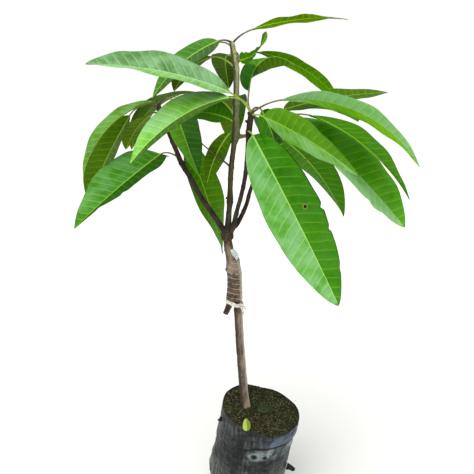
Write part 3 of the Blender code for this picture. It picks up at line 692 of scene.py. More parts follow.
def blade_finish(name, halves, rib, gloss, gap, half_sheens=(0.0, 0.0), shade=0.0, spots=()):
    """Leaf tissue in the greens of the +side and -side halves, with arched side
    veins, a midrib, a fine net of veinlets and a pale edge. The blade value holds
    metres along, metres across and the share of the way to the margin, and gap is
    the side veins' spacing. A glossier blade is smoother; the sheen shares give
    each half's share of painted bluish sheen, a painted reflection, shade the
    length of a foot darkened by painted shade, and spots each blemish as metres
    along, across and radius."""
    f = Finish(name, 0.4, gloss)
    along, across, edge = f.held("blade")
    place = f.object_place()
    reach = f.maths("ABSOLUTE", across)
    right = f.ramp(across, -0.0008, 0.0008)
    blotch = f.noise(place, 22.0, 4.0, 0.6)
    cloud = f.noise(place, 36.0, 4.0, 0.62)
    speck = f.noise(place, 260.0, 3.0, 0.6)

    # Veins, veinlets and midrib
    course = vein_course(f, place, along, reach, right, gap)
    away = f.maths("ABSOLUTE", f.plus(f.maths("FRACT", course), -0.5))
    line = f.times(f.ramp(away, 0.042, 0.014), f.ramp(edge, 1.0, 0.55))
    net = f.ramp(f.cells(place, 420.0, "DISTANCE_TO_EDGE"), 0.06, 0.0)
    share = f.way_along()
    rib_half = f.ramp(share, 0.0, 1.0, 0.0017, 0.0006)
    rib_line = f.ramp(f.maths("DIVIDE", reach, rib_half), 1.0, 0.45)

    # Tissue: blotches, a painted bluish sheen, and painted shade on one flank of each vein
    tissue = f.mix(right, halves[1], halves[0])
    vein = f.mix(right, vein_green(halves[1]), vein_green(halves[0]))
    tissue = f.layers(tissue, (blotch, 0.42, 0.70, 0.38, f.mix(0.5, tissue, vein)))
    tissue = f.layers(tissue, (blotch, 0.48, 0.28, 0.55, f.dimmed(tissue, 0.55, 0.62, 0.55)))
    # Painted bluish sheen, a painted reflection, in clouds over the tissue and over the veins too
    sheen_share = f.plus(f.times(right, half_sheens[0] - half_sheens[1]), half_sheens[1])
    tissue = f.mix(f.times(sheen_share, f.ramp(cloud, 0.38, 0.62)), tissue, SHEEN_TINT)
    vein = f.mix(f.times(sheen_share, 1.2), vein, (176, 228, 152))
    deeper = f.dimmed(tissue, 0.46, 0.66, 0.36)
    panel = f.maths("FRACT", f.plus(course, 0.5))
    flank = f.times(f.ramp(panel, 0.0, 0.10), f.ramp(panel, 0.62, 0.12))
    tissue = f.mix(f.times(flank, 0.24), tissue, deeper)
    tissue = f.layers(tissue, (cloud, 0.46, 0.28, 0.6, deeper), (speck, 0.40, 0.75, 0.10, vein))

    # Lines drawn over the tissue, then the painted shade on the foot, the blemishes and the withered
    # tip
    for drawn, strength in ((f.ramp(away, 0.30, 0.0), 0.10), (net, 0.08), (line, 0.84)):
        tissue = f.mix(f.times(drawn, strength), tissue, vein)
    tissue = f.layers(tissue, (edge, 0.972, 1.0, 0.5, vein))
    tissue = f.mix(f.times(rib_line, 0.92), tissue, rib)
    if shade:
        dim = f.dimmed(tissue, 0.24, 0.40, 0.28)
        tissue = f.layers(tissue, (along, shade * 1.12, shade * 0.9, 1.0, dim))
    tissue = spotted(f, tissue, along, across, speck, spots)
    withered = f.times(f.ramp(share, 0.972, 0.995), f.ramp(speck, 0.30, 0.55))
    f.colour(f.mix(f.times(withered, 0.75), tissue, (70, 54, 30)))

    dull = 0.60 - 0.9 * gloss
    f.roughness(f.plus(f.ramp(blotch, 0.3, 0.7, dull - 0.05, dull + 0.08), f.times(line, 0.08)))
    height = f.plus(f.times(line, 0.7), f.plus(f.times(net, 0.15), f.times(speck, 0.5)))
    f.bump(f.plus(height, f.times(rib_line, 0.8)), 0.35, 0.0005)
    return f.material


def stalk_finish(name, green, brown, browning):
    """A leaf stalk that turns from green to brown, with lengthwise streaks."""
    f = Finish(name, 0.48, 0.4)
    place = f.object_place()
    streak = f.noise(f.stretched(place, 1.0, 1.0, 0.25), 900.0, 3.0)
    share = f.swayed(f.way_along(), f.noise(place, 120.0, 3.0), 0.8)
    colour = f.mix(f.ramp(share, browning, browning - 0.5), green, brown)
    f.colour(f.layers(colour, (streak, 0.45, 0.75, 0.35, (196, 200, 140))))
    f.bump(streak, 0.3, 0.0003)
    return f.material


def bark_finish(name, ground, pale, deep, speck, tops, shaded, lit=0.0):
    """Thin bark: fibres along the stem, patches, dark cracks and raised pale
    pores. tops gives (height, height, colour) bands that it turns to upward;
    shaded gives how much darker the side toward -X is, as painted shade, and
    lit how much paler the side toward +X is, as painted light."""
    f = Finish(name, 0.78, 0.3)
    place = f.object_place()
    fibre = f.noise(f.stretched(place, 1.0, 1.0, 0.16), 620.0, 5.0, 0.65)
    patch = f.noise(f.stretched(place, 1.0, 1.0, 0.55), 75.0, 4.0, 0.6)
    crack = f.ramp(f.noise(f.stretched(place, 1.0, 1.0, 0.30), 330.0, 3.0, 0.7), 0.44, 0.30)
    pore = f.ramp(f.cells(f.stretched(place, 1.0, 1.0, 0.7), 300.0), 0.20, 0.07)
    pore = f.times(pore, f.ramp(f.noise(place, 150.0, 2.0), 0.50, 0.58))
    height = f.swayed(f.split(place)[2], patch, 0.05) if tops else None
    colour = f.layers(ground, (patch, 0.36, 0.66, 1.0, pale),
                      *((height, low, high, 1.0, top) for low, high, top in tops),
                      (fibre, 0.38, 0.70, 0.45, pale))
    colour = f.mix(f.times(crack, 0.75), colour, deep)
    colour = f.mix(f.times(pore, 0.75), colour, speck)
    # Painted light on the side toward +X and painted shade on the side toward -X, by which way the
    # surface faces
    side = f.swayed(f.facing_right(), fibre, 0.9)
    f.colour(f.layers(colour, (side, 0.40, 0.85, lit, speck), (side, 0.20, -0.60, shaded, deep)))
    f.roughness(f.ramp(patch, 0.3, 0.7, 0.82, 0.66))
    relief = f.plus(f.times(fibre, 0.9), f.times(pore, 0.6))
    f.bump(f.plus(relief, f.times(crack, -0.9)), 0.6, 0.0006)
    return f.material


def tape_finish():
    """Clouded grafting tape over bark, with bright overlapped edges and grime.
    The turn value holds the share across one turn of the tape."""
    f = Finish("clouded_tape", 0.45, 0.25)
    place = f.object_place()
    turn = f.held("turn")[0]
    edge = f.plus(f.ramp(turn, 0.13, 0.03), f.ramp(turn, 0.93, 0.99))
    shine = f.noise(f.stretched(place, 1.0, 1.0, 3.0), 210.0, 4.0, 0.65)
    grime = f.noise(place, 95.0, 4.0, 0.65)
    height = f.swayed(f.split(place)[2], grime, 0.02)
    side = f.facing_right()
    colour = f.layers((58, 43, 31), (grime, 0.35, 0.62, 1.0, (106, 88, 70)),
                      (shine, 0.52, 0.74, 0.5, (172, 160, 142)),
                      (shine, 0.46, 0.28, 0.8, (34, 25, 18)),
                      (height, 0.441, 0.447, 0.75, (150, 134, 120)),
                      # Painted light on the side toward +X and painted shade on the side toward -X
                      (side, 0.40, 0.90, 0.8, (206, 198, 180)),
                      (side, -0.35, -0.95, 0.7, (44, 34, 26)))
    f.colour(f.mix(f.times(edge, f.ramp(grime, 0.30, 0.55, 0.15, 0.85)), colour,
                   (214, 204, 184)))
    f.roughness(f.ramp(shine, 0.3, 0.7, 0.52, 0.30))
    f.bump(f.plus(shine, f.times(edge, 0.8)), 0.5, 0.0006)
    return f.material


def strip_finish(name, roughness, crease, ground):
    """Thin pale tape, darker in its creases as painted shade, with faint stains."""
    f = Finish(name, roughness, 0.45)
    place = f.object_place()
    fold = f.noise(f.stretched(place, 1.0, 1.0, 2.4), 330.0, 4.0, 0.65)
    stain = f.noise(place, 120.0, 3.0, 0.6)
    # Painted shade: the crease colour where the fold noise is low and dents the surface, the pale
    # ground where it is high
    f.colour(f.layers(crease, (fold, 0.34, 0.60, 1.0, ground),
                      (stain, 0.56, 0.75, 0.5, (176, 158, 126))))
    f.bump(fold, 0.5, 0.0005)
    return f.material


def film_finish():
    """Black bag film: deep blue-black with dusty bloom, water marks running
    down, scuffs on folds and grit, a painted bluish highlight high on the front
    right, painted highlights where it stands out and painted shade in its creases.
    Holes are near black, partly the soil within and partly painted shade. The
    crumple value holds how far a point stands out, how near it is to a hole, and
    how scuffed it is."""
    f = Finish("black_film", 0.42, 0.16)
    place = f.object_place()
    right, back, height = f.split(place)
    stands, hole, scuffed = f.held("crumple")
    cloud = f.noise(place, 30.0, 5.0, 0.66)
    run = f.noise(f.stretched(place, 1.0, 1.0, 0.16), 190.0, 5.0, 0.68)
    smear = f.noise(f.stretched(place, 0.5, 0.5, 1.0), 130.0, 5.0, 0.72, 0.6)
    dust = f.noise(place, 520.0, 4.0, 0.7)
    colour = f.layers((15, 17, 19), (smear, 0.40, 0.62, 1.0, (44, 49, 54)))
    colour = f.mix(f.times(f.ramp(run, 0.46, 0.66), f.ramp(cloud, 0.38, 0.58)), colour,
                   (78, 82, 80))
    # Painted bluish highlight high on the front right of the film
    blue = f.times(f.ramp(right, 0.020, 0.050), f.ramp(height, 0.150, 0.168))
    blue = f.times(blue, f.ramp(height, 0.189, 0.183))
    blue = f.times(blue, f.times(f.ramp(smear, 0.36, 0.60), f.ramp(back, 0.010, -0.020)))
    damp = f.times(f.ramp(height, 0.125, 0.075), f.ramp(run, 0.36, 0.60))
    scuff = f.times(scuffed, f.ramp(smear, 0.30, 0.54))
    for mark, strength, tint in ((blue, 0.85, (84, 98, 128)), (damp, 0.75, (104, 112, 104)),
                                 (scuff, 0.88, (150, 162, 166))):
        colour = f.mix(f.times(mark, strength), colour, tint)
    # Painted highlight where the film stands out and painted shade in its creases
    colour = f.layers(colour, (stands, 0.58, 0.95, 0.42, (120, 128, 134)),
                      (stands, 0.42, 0.16, 0.85, (10, 11, 13)))
    grit = f.times(f.ramp(dust, 0.58, 0.72), f.ramp(cloud, 0.34, 0.54))
    colour = f.mix(f.times(grit, 0.45), colour, (138, 136, 118))
    # Holes painted near black: the dark soil seen through them, and painted shade inside them
    f.colour(f.mix(hole, colour, (10, 11, 10)))
    f.roughness(f.ramp(cloud, 0.35, 0.65, 0.30, 0.55))
    f.bump(f.plus(f.times(run, 0.5), f.plus(smear, f.times(dust, 0.25))), 0.5, 0.0012)
    return f.material


def soil_finish():
    """Damp dark potting soil under a skin of moss, with straw-coloured bits."""
    f = Finish("moss_soil", 0.95, 0.2)
    place = f.object_place()
    patch = f.noise(place, 40.0, 4.0, 0.65)
    clump = f.noise(place, 260.0, 5.0, 0.7)
    bit = f.ramp(f.cells(place, 430.0), 0.24, 0.10)
    bit = f.times(bit, f.ramp(f.noise(place, 120.0, 2.0), 0.54, 0.62))
    # Lighter on raised clumps and darker between them: partly the moss and soil, partly painted light
    # and painted shade that follow the bump
    colour = f.layers((26, 23, 15), (patch, 0.40, 0.62, 1.0, (44, 44, 22)),
                      (clump, 0.46, 0.70, 1.0, (84, 84, 48)),
                      (clump, 0.42, 0.28, 1.0, (10, 9, 6)))
    f.colour(f.mix(f.times(bit, 0.8), colour, (142, 132, 92)))
    f.bump(clump, 0.8, 0.002)
    return f.material


def speckled_finish(name, ground, other, scale):
    """Two colours broken up by fine noise, for moss, grit and fibres."""
    f = Finish(name, 0.9, 0.2)
    speck = f.noise(f.object_place(), scale, 3.0, 0.7)
    f.colour(f.layers(ground, (speck, 0.38, 0.62, 1.0, other)))
    f.bump(speck, 0.4, 0.0005)
    return f.material


# ---------------------------------------------------------------- leaves

def heading(turn, pitch):
    """Unit directions: (cos p cos a, cos p sin a, sin p) for turn a and pitch p."""
    a, p = np.radians(turn), np.radians(pitch)
    return np.stack([np.cos(p) * np.cos(a), np.cos(p) * np.sin(a), np.sin(p)], -1)


def bent_run(start, turns, pitches, length, count):
    """Line whose heading turns evenly from first to last, summed step by step."""
    t = (np.arange(count) + 0.5) / count
    steps = heading(turns[0] + (turns[1] - turns[0]) * t,
                    pitches[0] + (pitches[1] - pitches[0]) * t) * (length / count)
    return np.vstack([start, start + np.cumsum(steps, axis=0)])


def blade_axes(line, rolls):
    """Side and face of a blade along its midrib, with x a cross product: along x
    upright, kept from flipping over, and side x along, rolled evenly about it."""
    along = unit(np.gradient(line, axis=0))
    side = unit(np.cross(along, (0.0, 0.0, 1.0)))
    flips = np.where((side[1:] * side[:-1]).sum(1) < 0, -1.0, 1.0)
    side = side * np.append(1.0, np.cumprod(flips))[:, None]
    face = np.cross(side, along)
    roll = np.radians(np.linspace(rolls[0], rolls[1], len(line)))[:, None]
    return (side * np.cos(roll) + face * np.sin(roll),
            face * np.cos(roll) - side * np.sin(roll))


def blade_half(u, width, fullness):
    """Half width at share u: width/2 times u^a (1-u)^b, scaled to peak at one."""
    base, tip = fullness
    u = np.clip(u, 1e-6, 1 - 1e-6)
    peak = base / (base + tip)
    return width / 2 * u ** base * (1 - u) ** tip / (peak ** base * (1 - peak) ** tip)


def margins(u, half, seed, nicks):
    """Half widths on the -side and +side: uneven by about 3 %, less their dents."""
    sides = []
    for sign in (-1, 1):
        wobble = 0.030 * rough(np.stack([u * 5.0, u * 0 + sign * 3.7, u * 0 + seed], -1), seed, 3)
        notch = sum(depth * hump(u, centre, wide)
                    for where, centre, wide, depth in nicks if where == sign)
        sides.append(half * (1.0 + wobble - notch))
    return sides


def blade_lift(u, w, half, reach, length, fold, ripple, seed):
    """Height of a blade over its midrib: the fold's rise, w half sin(fold), rounded
    at the midrib; ripples, a sine along the blade that grows outward as w^2.2; and
    soft quilting between the side veins, the size of a sine of their course."""
    share = np.abs(w)[None]
    rounded = np.sqrt(w ** 2 + 0.006) - math.sqrt(0.006)
    rise = rounded[None] * half[:, None] * math.sin(math.radians(fold))
    phase = np.where(w < 0, 0.9, 0.0)[None] + seed * 1.7
    drift = 0.9 * rough(np.stack([u * 3.0, u * 0 + 0.5, u * 0 + seed], -1), seed + 5, 2)[:, None]
    waves = 1.8 + length * 6.0
    swing = np.sin(2 * np.pi * waves * u[:, None] + phase * 2.0 + drift * 2.0)
    ends = (np.sin(np.pi * np.clip(u, 0, 1)) ** 0.5)[:, None]
    flutter = 0.55 * ripple / 1000 * swing * share ** 2.2 * ends
    course = (u * length)[:, None] - reach * VEIN_SLANT - reach ** 2 * VEIN_ARCH
    course = course / vein_gap(length) + np.where(w > 0, 0.5, 0.0)[None]
    quilt = 0.00042 * np.abs(np.sin(np.pi * (course - 0.5))) * (1 - share ** 2) * ends
    return rise + flutter + quilt * ease(0.03, 0.2, share)


def blade_rings(line, side, face, width, fold, fullness, ripple, seed, nicks=()):
    """Rings of a closed thin blade: across the top and back under it. A point is
    rib + w half cos(fold) side + lift face, plus or minus half the thickness, which
    swells into the midrib. Also the blade value and the finish of each face."""
    rows = len(line)
    u = np.linspace(0.0, 1.0, rows)
    grid = np.linspace(-1.0, 1.0, BLADE_COLUMNS)
    w = np.sign(grid) * np.abs(grid) ** 1.35
    length = walked_along(line)[-1]
    half = np.maximum(blade_half(u, width, fullness), 0.0009)
    minus, plus = margins(u, half, seed, nicks)
    across = np.where(w[None] < 0, minus[:, None], plus[:, None]) * w[None]
    reach, share = np.abs(across), np.abs(w)[None]
    lift = blade_lift(u, w, half, reach, length, fold, ripple, seed)
    thick = 0.00016 + 0.00010 * (1 - share ** 2)
    rib = 0.00155 * (1 - 0.78 * u)[:, None]
    top = thick + 0.30 * rib * hump(reach, 0.0, 0.75 * rib)
    under = thick + 0.85 * rib * hump(reach, 0.0, 0.90 * rib)
    middle = line[:, None] + (across * math.cos(math.radians(fold)))[..., None] * side[:, None]
    upper = middle + (lift + top)[..., None] * face[:, None]
    lower = middle + (lift - under)[..., None] * face[:, None]
    upper[:, (0, -1)] = (upper[:, (0, -1)] + lower[:, (0, -1)]) / 2
    value = np.stack([np.broadcast_to((u * length)[:, None], across.shape), across,
                      np.broadcast_to(share, across.shape)], -1)
    rings = np.concatenate([upper, lower[:, -2:0:-1]], axis=1)
    values = np.concatenate([value, value[:, -2:0:-1]], axis=1)
    slots = np.where(np.arange(rings.shape[1]) < BLADE_COLUMNS - 1, 0, 1)
    return rings, values, np.broadcast_to(slots, (rows - 1, rings.shape[1]))


def limb_of(name):
    """The limb that a leaf grows on, which its name begins with."""
    return name.split("_")[0]


def make_leaf(leaf, rows, finishes):
    """A leaf grown from its limb: a blade, and a stalk that runs on into it. The
    stalk's radius swells by 62 % at its foot and thins in the middle and at its end."""
    seed = sum(ord(letter) * (k + 3) for k, letter in enumerate(leaf.name)) % 97
    start = np.array([np.interp(leaf.foot, rows[:, 2], rows[:, k]) for k in range(3)])
    stem = bent_run(start, leaf.turns[:2], leaf.pitches[:2], leaf.stalk / 1000, STALK_ROWS)
    line = bent_run(stem[-1], leaf.turns[1:], leaf.pitches[1:], leaf.length / 1000, BLADE_ROWS)
    side, face = blade_axes(line, leaf.rolls)
    ripple = LOOKS[leaf.name][4]
    rings, values, slots = blade_rings(line, side, face, leaf.width / 1000, leaf.fold,
                                       leaf.fullness, ripple, seed, NICKS.get(leaf.name, ()))
    path = np.vstack([stem, line[1:5] - face[1:5] * 0.0004])
    s = np.linspace(0.0, 1.0, len(path))
    radius = STALK_RADIUS * (1.0 + 0.62 * np.exp(-s / 0.10) - 0.16 * hump(s, 0.62, 0.3)
                             - 0.55 * ease(0.90, 1.0, s))
    tube = tube_points(path, radius, STALK_SIDES, lambda p, walked, turn:
                       0.00008 * rough(p * np.array((700.0, 700.0, 120.0)), seed, 2))
    shape = Shape()
    shape.rings(rings, slots, {"blade": values})
    shape.rings(tube, 2, {"blade": np.zeros(tube.shape)})
    node = "leaves_" + limb_of(leaf.name)
    shape.piece("leaf_" + leaf.name, finishes, [node])


def make_leaves(paths):
    """Every leaf, with its own two greens above and one below."""
    stalks = {"green": stalk_finish("green_stalk", (146, 172, 40), (118, 116, 44), 0.2),
              "brown": stalk_finish("brown_stalk", (116, 116, 50), (62, 48, 34), 0.75)}
    unders = {}
    for leaf in LEAVES:
        name = leaf.name
        plus, minus, under, stalk, _, gloss = LOOKS[name]
        if under not in unders:
            green = GREENS[under]
            rib = tuple(np.add(green, (70, 66, 20)))
            unders[under] = blade_finish("under_" + under, (green, green), rib, 0.04,
                                         vein_gap(UNDER_LENGTH))
        rib = RIBS.get(plus, RIBS.get(minus, PLAIN_RIB))
        # Each half's share of painted bluish sheen, large on the greens that carry it
        half_sheens = [min(0.5, gloss * 3.4) if key in SHEENED else gloss * 0.2
                  for key in (plus, minus)]
        top = blade_finish("upper_" + name, (GREENS[plus], GREENS[minus]), rib, gloss,
                           vein_gap(leaf.length / 1000), half_sheens,
                           BASE_SHADE.get(name, 0.0), SPOTS.get(name, ()))
        below = top if name in TURNED else unders[under]
        make_leaf(leaf, paths[limb_of(name)], (top, below, stalks[stalk]))


# ---------------------------------------------------------------- stems

def bark_relief(seed, ridge, lump, knots=(), collar=0.0):
    """Relief of bark: broad lumps, lengthwise ridges, leaf scars as rings, and a
    collar that swells towards the foot. Each scar has its distance from the foot,
    its height, its width and its slant."""
    def relief(on_ring, walked, turn):
        """Height at places on the ring, for the distance walked and the angle."""
        height = lump * rough(on_ring * np.array((160.0, 160.0, 90.0)), seed, 3)
        height += ridge * rough(on_ring * np.array((1100.0, 1100.0, 170.0)), seed + 9, 3)
        height += ridge * 0.8 * crease(on_ring * np.array((500.0, 500.0, 120.0)), seed + 4, 2)
        for where, swell, width, lean in knots:
            level = walked + lean * np.cos(turn - seed)
            height = height + swell * hump(level, where, width)
            height = height - swell * 0.35 * hump(level, where + width * 1.3, width * 0.35)
        return height + collar * np.exp(-walked / 0.008)
    return relief


def bark_piece(name, rows, sides, relief, finish, nodes, stubs=()):
    """A closed limb of bark, with the stubs that stand on it."""
    shape = Shape()
    shape.rings(tube_points(rows[:, :3], rows[:, 3], sides, relief))
    for path, radius, stub_relief in stubs:
        shape.rings(tube_points(path, radius, STUB_SIDES, stub_relief))
    shape.piece(name, [finish], nodes)


def rounded_ends(rows, start, end):
    """Radius drawn in over the given length at each end, where there is one, as a
    quarter circle."""
    walked = walked_along(rows[:, :3])
    for distance, reach in ((walked, start), (walked[-1] - walked, end)):
        if reach:
            t = np.clip(distance / reach, 0.0, 1.0)
            rows[:, 3] *= np.sqrt(np.maximum(1 - (1 - t) ** 2, 0.01))
    return rows


def scion_rows():
    """Rows of the scion: its stem swells to the knuckle's radius by a half circle
    of height, and a quarter circle closes it above."""
    rows = rounded_ends(spline_rows(SCION, 240), 0.0006, 0.0)
    bulge = np.sqrt(np.maximum(1 - ((rows[:, 2] - KNUCKLE_HEIGHT) / KNUCKLE_REACH) ** 2, 0.0))
    rows[:, 3] = np.maximum(rows[:, 3], 0.0) + (KNUCKLE_RADIUS - 0.0062) * ease(0.0, 1.0, bulge)
    quarter = np.linspace(0.05, 1.0, 16) * np.pi / 2
    cap = np.repeat(rows[-1:], 16, axis=0)
    cap[:, 2] += 0.0085 * np.sin(quarter)
    cap[:, 3] *= np.maximum(np.cos(quarter), 0.05)
    return np.vstack([rows, cap])


def make_stems():
    """Rootstock, scion with its knuckle, and the four limbs up to their buds, with
    scars where leaves grow and where old ones fell. Gives each limb's rows."""
    grey = bark_finish("grey_bark", (88, 74, 60), (134, 120, 102), (46, 37, 28),
                       (190, 180, 164), ((0.222, 0.200, (166, 146, 118)),), 0.9, 0.7)
    brown = bark_finish("scion_bark", (40, 29, 22), (118, 102, 84), (26, 18, 13),
                        (158, 142, 118), ((0.388, 0.402, (156, 136, 118)),
                                          (0.480, 0.493, (46, 35, 25))), 0.7)
    dark = bark_finish("dark_bark", (38, 28, 21), (72, 56, 42), (17, 12, 9),
                       (122, 104, 80), (), 0.6)
    leader = bark_finish("leader_bark", (46, 35, 25), (86, 74, 50), (22, 17, 11),
                         (158, 150, 108), ((0.560, 0.612, (98, 94, 52)),
                                           (0.626, 0.662, (138, 140, 96)),
                                           (0.700, 0.735, (186, 184, 134))), 0.85)
    trunk_rows = rounded_ends(spline_rows(ROOTSTOCK, 420), 0.0, 0.003)
    bark_piece("rootstock", trunk_rows, ROOTSTOCK_SIDES,
               bark_relief(3, 0.00016, 0.00030, ((0.196, 0.0007, 0.004, 0.001),)),
               grey, ["trunk"])
    bark_piece("scion", scion_rows(), SCION_SIDES,
               bark_relief(11, 0.00022, 0.00055, ((0.108, 0.0006, 0.003, 0.002),)),
               brown, ["scion"])
    paths = {}
    for number, (limb, points) in enumerate(LIMBS.items()):
        length = sum(math.dist(a[0], b[0]) for a, b in zip(points, points[1:]))
        rows = spline_rows(points, int(LIMB_ROWS * length))
        paths[limb] = rows.copy()
        walked = walked_along(rows[:, :3])
        total = walked[-1]
        scars = [(float(np.interp(leaf.foot, rows[:, 2], walked)), 0.0006, 0.0022, 0.0012)
                 for leaf in LEAVES if limb_of(leaf.name) == limb]
        scars += [(total * share, 0.00030, 0.0018, 0.0010)
                  for share in (0.17, 0.30, 0.41, 0.53)]
        tip = np.clip((total - walked) / 0.009, 0.0, 1.0)
        rows[:, 3] *= np.maximum(np.sin(tip * np.pi / 2) ** 0.75, 0.08)
        bark_piece("limb_" + limb, rows, LIMB_SIDES,
                   bark_relief(20 + number, 0.00014, 0.00026, scars, 0.0024),
                   leader if limb == "leader" else dark,
                   ["bough_" + limb, "leaves_" + limb], limb_stubs(limb))
    return paths


def limb_stubs(limb):
    """Path, radius and relief of each stub: its radius tapers by 45 %, swells again
    near its end and closes as a root."""
    made = []
    for start, turns, pitches, length, radius in STUBS[limb]:
        path = bent_run(np.array(start), turns, pitches, length, 22)
        s = np.linspace(0.0, 1.0, len(path))
        size = radius * (1.0 - 0.45 * ease(0.0, 0.8, s) + 0.14 * hump(s, 0.85, 0.12))
        size = size * np.sqrt(np.maximum(1 - ease(0.90, 1.0, s) * 0.97, 0.02))
        made.append((path, size, bark_relief(int(length * 9000), 0.0001, 0.0003)))
    return made


# ---------------------------------------------------------------- graft

def pair_centres(heights):
    """Middle (x, y) of rootstock and scion at each height, and half their distance
    along x."""
    ax, ay, bx, by = (np.interp(heights, rows[:, 2], rows[:, axis])
                      for rows in (spline_rows(ROOTSTOCK, 200), spline_rows(SCION, 200))
                      for axis in (0, 1))
    return (ax + bx) / 2, (ay + by) / 2, np.abs(ax - bx) / 2


def wrap_points(heights, turn, depth):
    """Oval hull of the two stems: middle + (spread + depth) cos t along x and
    (depth + 1.8 mm) sin t along y, for a depth given at each point."""
    middle_x, middle_y, spread = pair_centres(heights)
    x = middle_x[:, None] + (spread[:, None] + depth) * np.cos(turn)[None]
    y = middle_y[:, None] + (depth + 0.0018) * np.sin(turn)[None]
    return np.stack([x, y, np.broadcast_to(heights[:, None], x.shape)], -1)


def make_tape():
    """The tape wound round the union. Its depth over the stems falls by a step with
    each turn, as (1 - share of the turn)^2, and adds wrinkles, the bump of a bud
    under it and looser ends."""
    heights, turn = np.linspace(TAPE_FOOT, TAPE_TOP, TAPE_ROWS), round_turns(TAPE_COLUMNS)
    z, t = np.meshgrid(heights, turn, indexing="ij")
    slope = 0.0016 * np.sin(t + 0.8)
    sway = rough(np.stack([np.cos(t), np.sin(t), z * 60], -1) * 1.4, 5, 2)
    course = (z + slope - 0.402) / TAPE_PITCH + 0.10 * sway
    part = course - np.floor(course)
    on_ring = np.stack([np.cos(t) * 0.01, np.sin(t) * 0.01, z], -1)
    wrinkle = 0.00030 * rough(on_ring * np.array((260.0, 260.0, 420.0)), 7, 3)
    bud = 0.0022 * hump(z, BUD_HEIGHT, 0.0042) * hump(np.cos(t), -1.0, 0.35)
    ends = ease(TAPE_FOOT, 0.4000, z) * (1 - ease(0.4560, TAPE_TOP, z) * 0.42)
    depth = TAPE_DEPTH * (0.80 + 0.20 * ends) + 0.00070 * (1 - part) ** 2 + wrinkle + bud
    depth = depth - 0.0026 * ease(0.442, TAPE_TOP, z) * (0.5 + 0.5 * np.cos(t))
    depth = depth * (0.86 + 0.14 * ends)
    shape = Shape()
    shape.rings(wrap_points(heights, turn, depth),
                values={"turn": np.stack([part, z * 0, z * 0], -1)})
    shape.piece("tape_wrap", [tape_finish()], ["graft_tape"])


def make_tie():
    """The white tie: two flat cords side by side round the foot of the tape."""
    turn = np.linspace(0, 2 * np.pi, TIE_ROWS + 1)[:-1]
    middle_x, middle_y, spread = pair_centres(np.array([0.394]))
    shape = Shape()
    for number, (lift, grow, phase) in enumerate(((0.0014, 0.0, 1), (-0.0013, 0.00015, 2))):
        depth = TIE_DEPTH + 0.0006 * np.cos(turn) + grow + 0.0002 * np.sin(5 * turn + phase)
        height = (TIE_HEIGHT + lift + 0.0030 * np.cos(turn - 2.9)
                  + 0.0003 * np.sin(3 * turn + phase))
        add_loop(shape, np.stack([middle_x[0] + (spread[0] + depth) * np.cos(turn),
                                  middle_y[0] + (depth + 0.0012) * np.sin(turn), height], -1),
                 0.00165, number)
    white = strip_finish("white_tape", 0.42, (168, 160, 142), (238, 235, 226))
    shape.piece("tie_band", [white], ["graft_tie"])


def make_graft():
    """The wound tape with its loose flap, and the tie with its two ends."""
    make_tape()
    make_tie()
    thin = strip_finish("thin_white_tape", 0.5, (168, 160, 142), (238, 235, 226))
    clear = strip_finish("clear_tape", 0.3, (196, 208, 212), (244, 250, 252))
    strip_piece("tie_tail", thin, "graft_tie",
                (((-0.0325, -0.0100, 0.3925), 0.0016), ((-0.0295, -0.0108, 0.3900), 0.0019),
                 ((-0.0272, -0.0110, 0.3855), 0.0019), ((-0.0262, -0.0105, 0.3810), 0.0014),
                 ((-0.0240, -0.0100, 0.3765), 0.0006)), (0.3, -0.9, 0.2), 31)
    strip_piece("tie_end", thin, "graft_tie",
                (((-0.0330, -0.0100, 0.3950), 0.0012), ((-0.0285, -0.0120, 0.3940), 0.0013),
                 ((-0.0245, -0.0122, 0.3905), 0.0012), ((-0.0222, -0.0118, 0.3855), 0.0005)),
                (0.5, -0.8, 0.1), 37)
    strip_piece("tape_flap", clear, "graft_tape",
                (((-0.0420, -0.0066, 0.4690), 0.0036), ((-0.0434, -0.0082, 0.4725), 0.0047),
                 ((-0.0464, -0.0092, 0.4765), 0.0050), ((-0.0496, -0.0088, 0.4805), 0.0045),
                 ((-0.0520, -0.0072, 0.4835), 0.0026)), (0.6, -0.6, 0.5), 41)


def add_loop(shape, path, radius, number):
    """A flattened cord closed on itself, with slanting twist ridges: radius times
    1 + 0.16 sin(2 t + 9 turns). Its first and last rings lie together."""
    rows = np.vstack([path, path[:1]])
    side = unit(np.cross(unit(np.roll(path, -1, 0) - np.roll(path, 1, 0)), (0.0, 0.0, 1.0)))
    side = np.vstack([side, side[:1]])
    turn = round_turns(CORD_SIDES)
    s = np.linspace(0.0, 1.0, len(rows))[:, None]
    twist = 1.0 + 0.16 * np.sin(2 * turn[None] + 2 * np.pi * 9 * s + number)
    out = (0.62 * radius * twist * np.cos(turn)[None])[..., None] * side[:, None]
    up = (radius * twist * np.sin(turn)[None])[..., None] * np.array((0.0, 0.0, 1.0))
    start = shape.keep(rows[:, None] + out + up)
    shape.cover(ring_faces(len(rows), CORD_SIDES, start)[:, ::-1],
                ring_places(len(rows), CORD_SIDES)[:, ::-1])


def strip_piece(name, finish, node, points, facing, seed):
    """A crumpled strip: a flat ring of points carried along a curve through the
    points, each with the half width there. It lies across the path and facing,
    and is thin along facing."""
    rows = spline_rows(points, 46)
    path, half = rows[:, :3], rows[:, 3:]
    along = unit(np.gradient(path, axis=0))
    across = unit(np.cross(along, np.array(facing)))
    out = np.cross(across, along)
    w = np.linspace(-1, 1, 15)
    spot = np.stack(np.broadcast_arrays(w[None] * 2.0, np.linspace(0, 5, len(path))[:, None],
                                        seed * 1.0), -1)
    dent = 0.0006 * rough(spot, seed, 3)
    middle = (path[:, None] + (half * w[None])[..., None] * across[:, None]
              + dent[..., None] * out[:, None])
    lifted = STRIP_HALF * out[:, None]
    shape = Shape()
    shape.rings(np.concatenate([middle + lifted, (middle - lifted)[:, ::-1]], axis=1))
    turned_out(shape.piece(name, [finish], [node]))


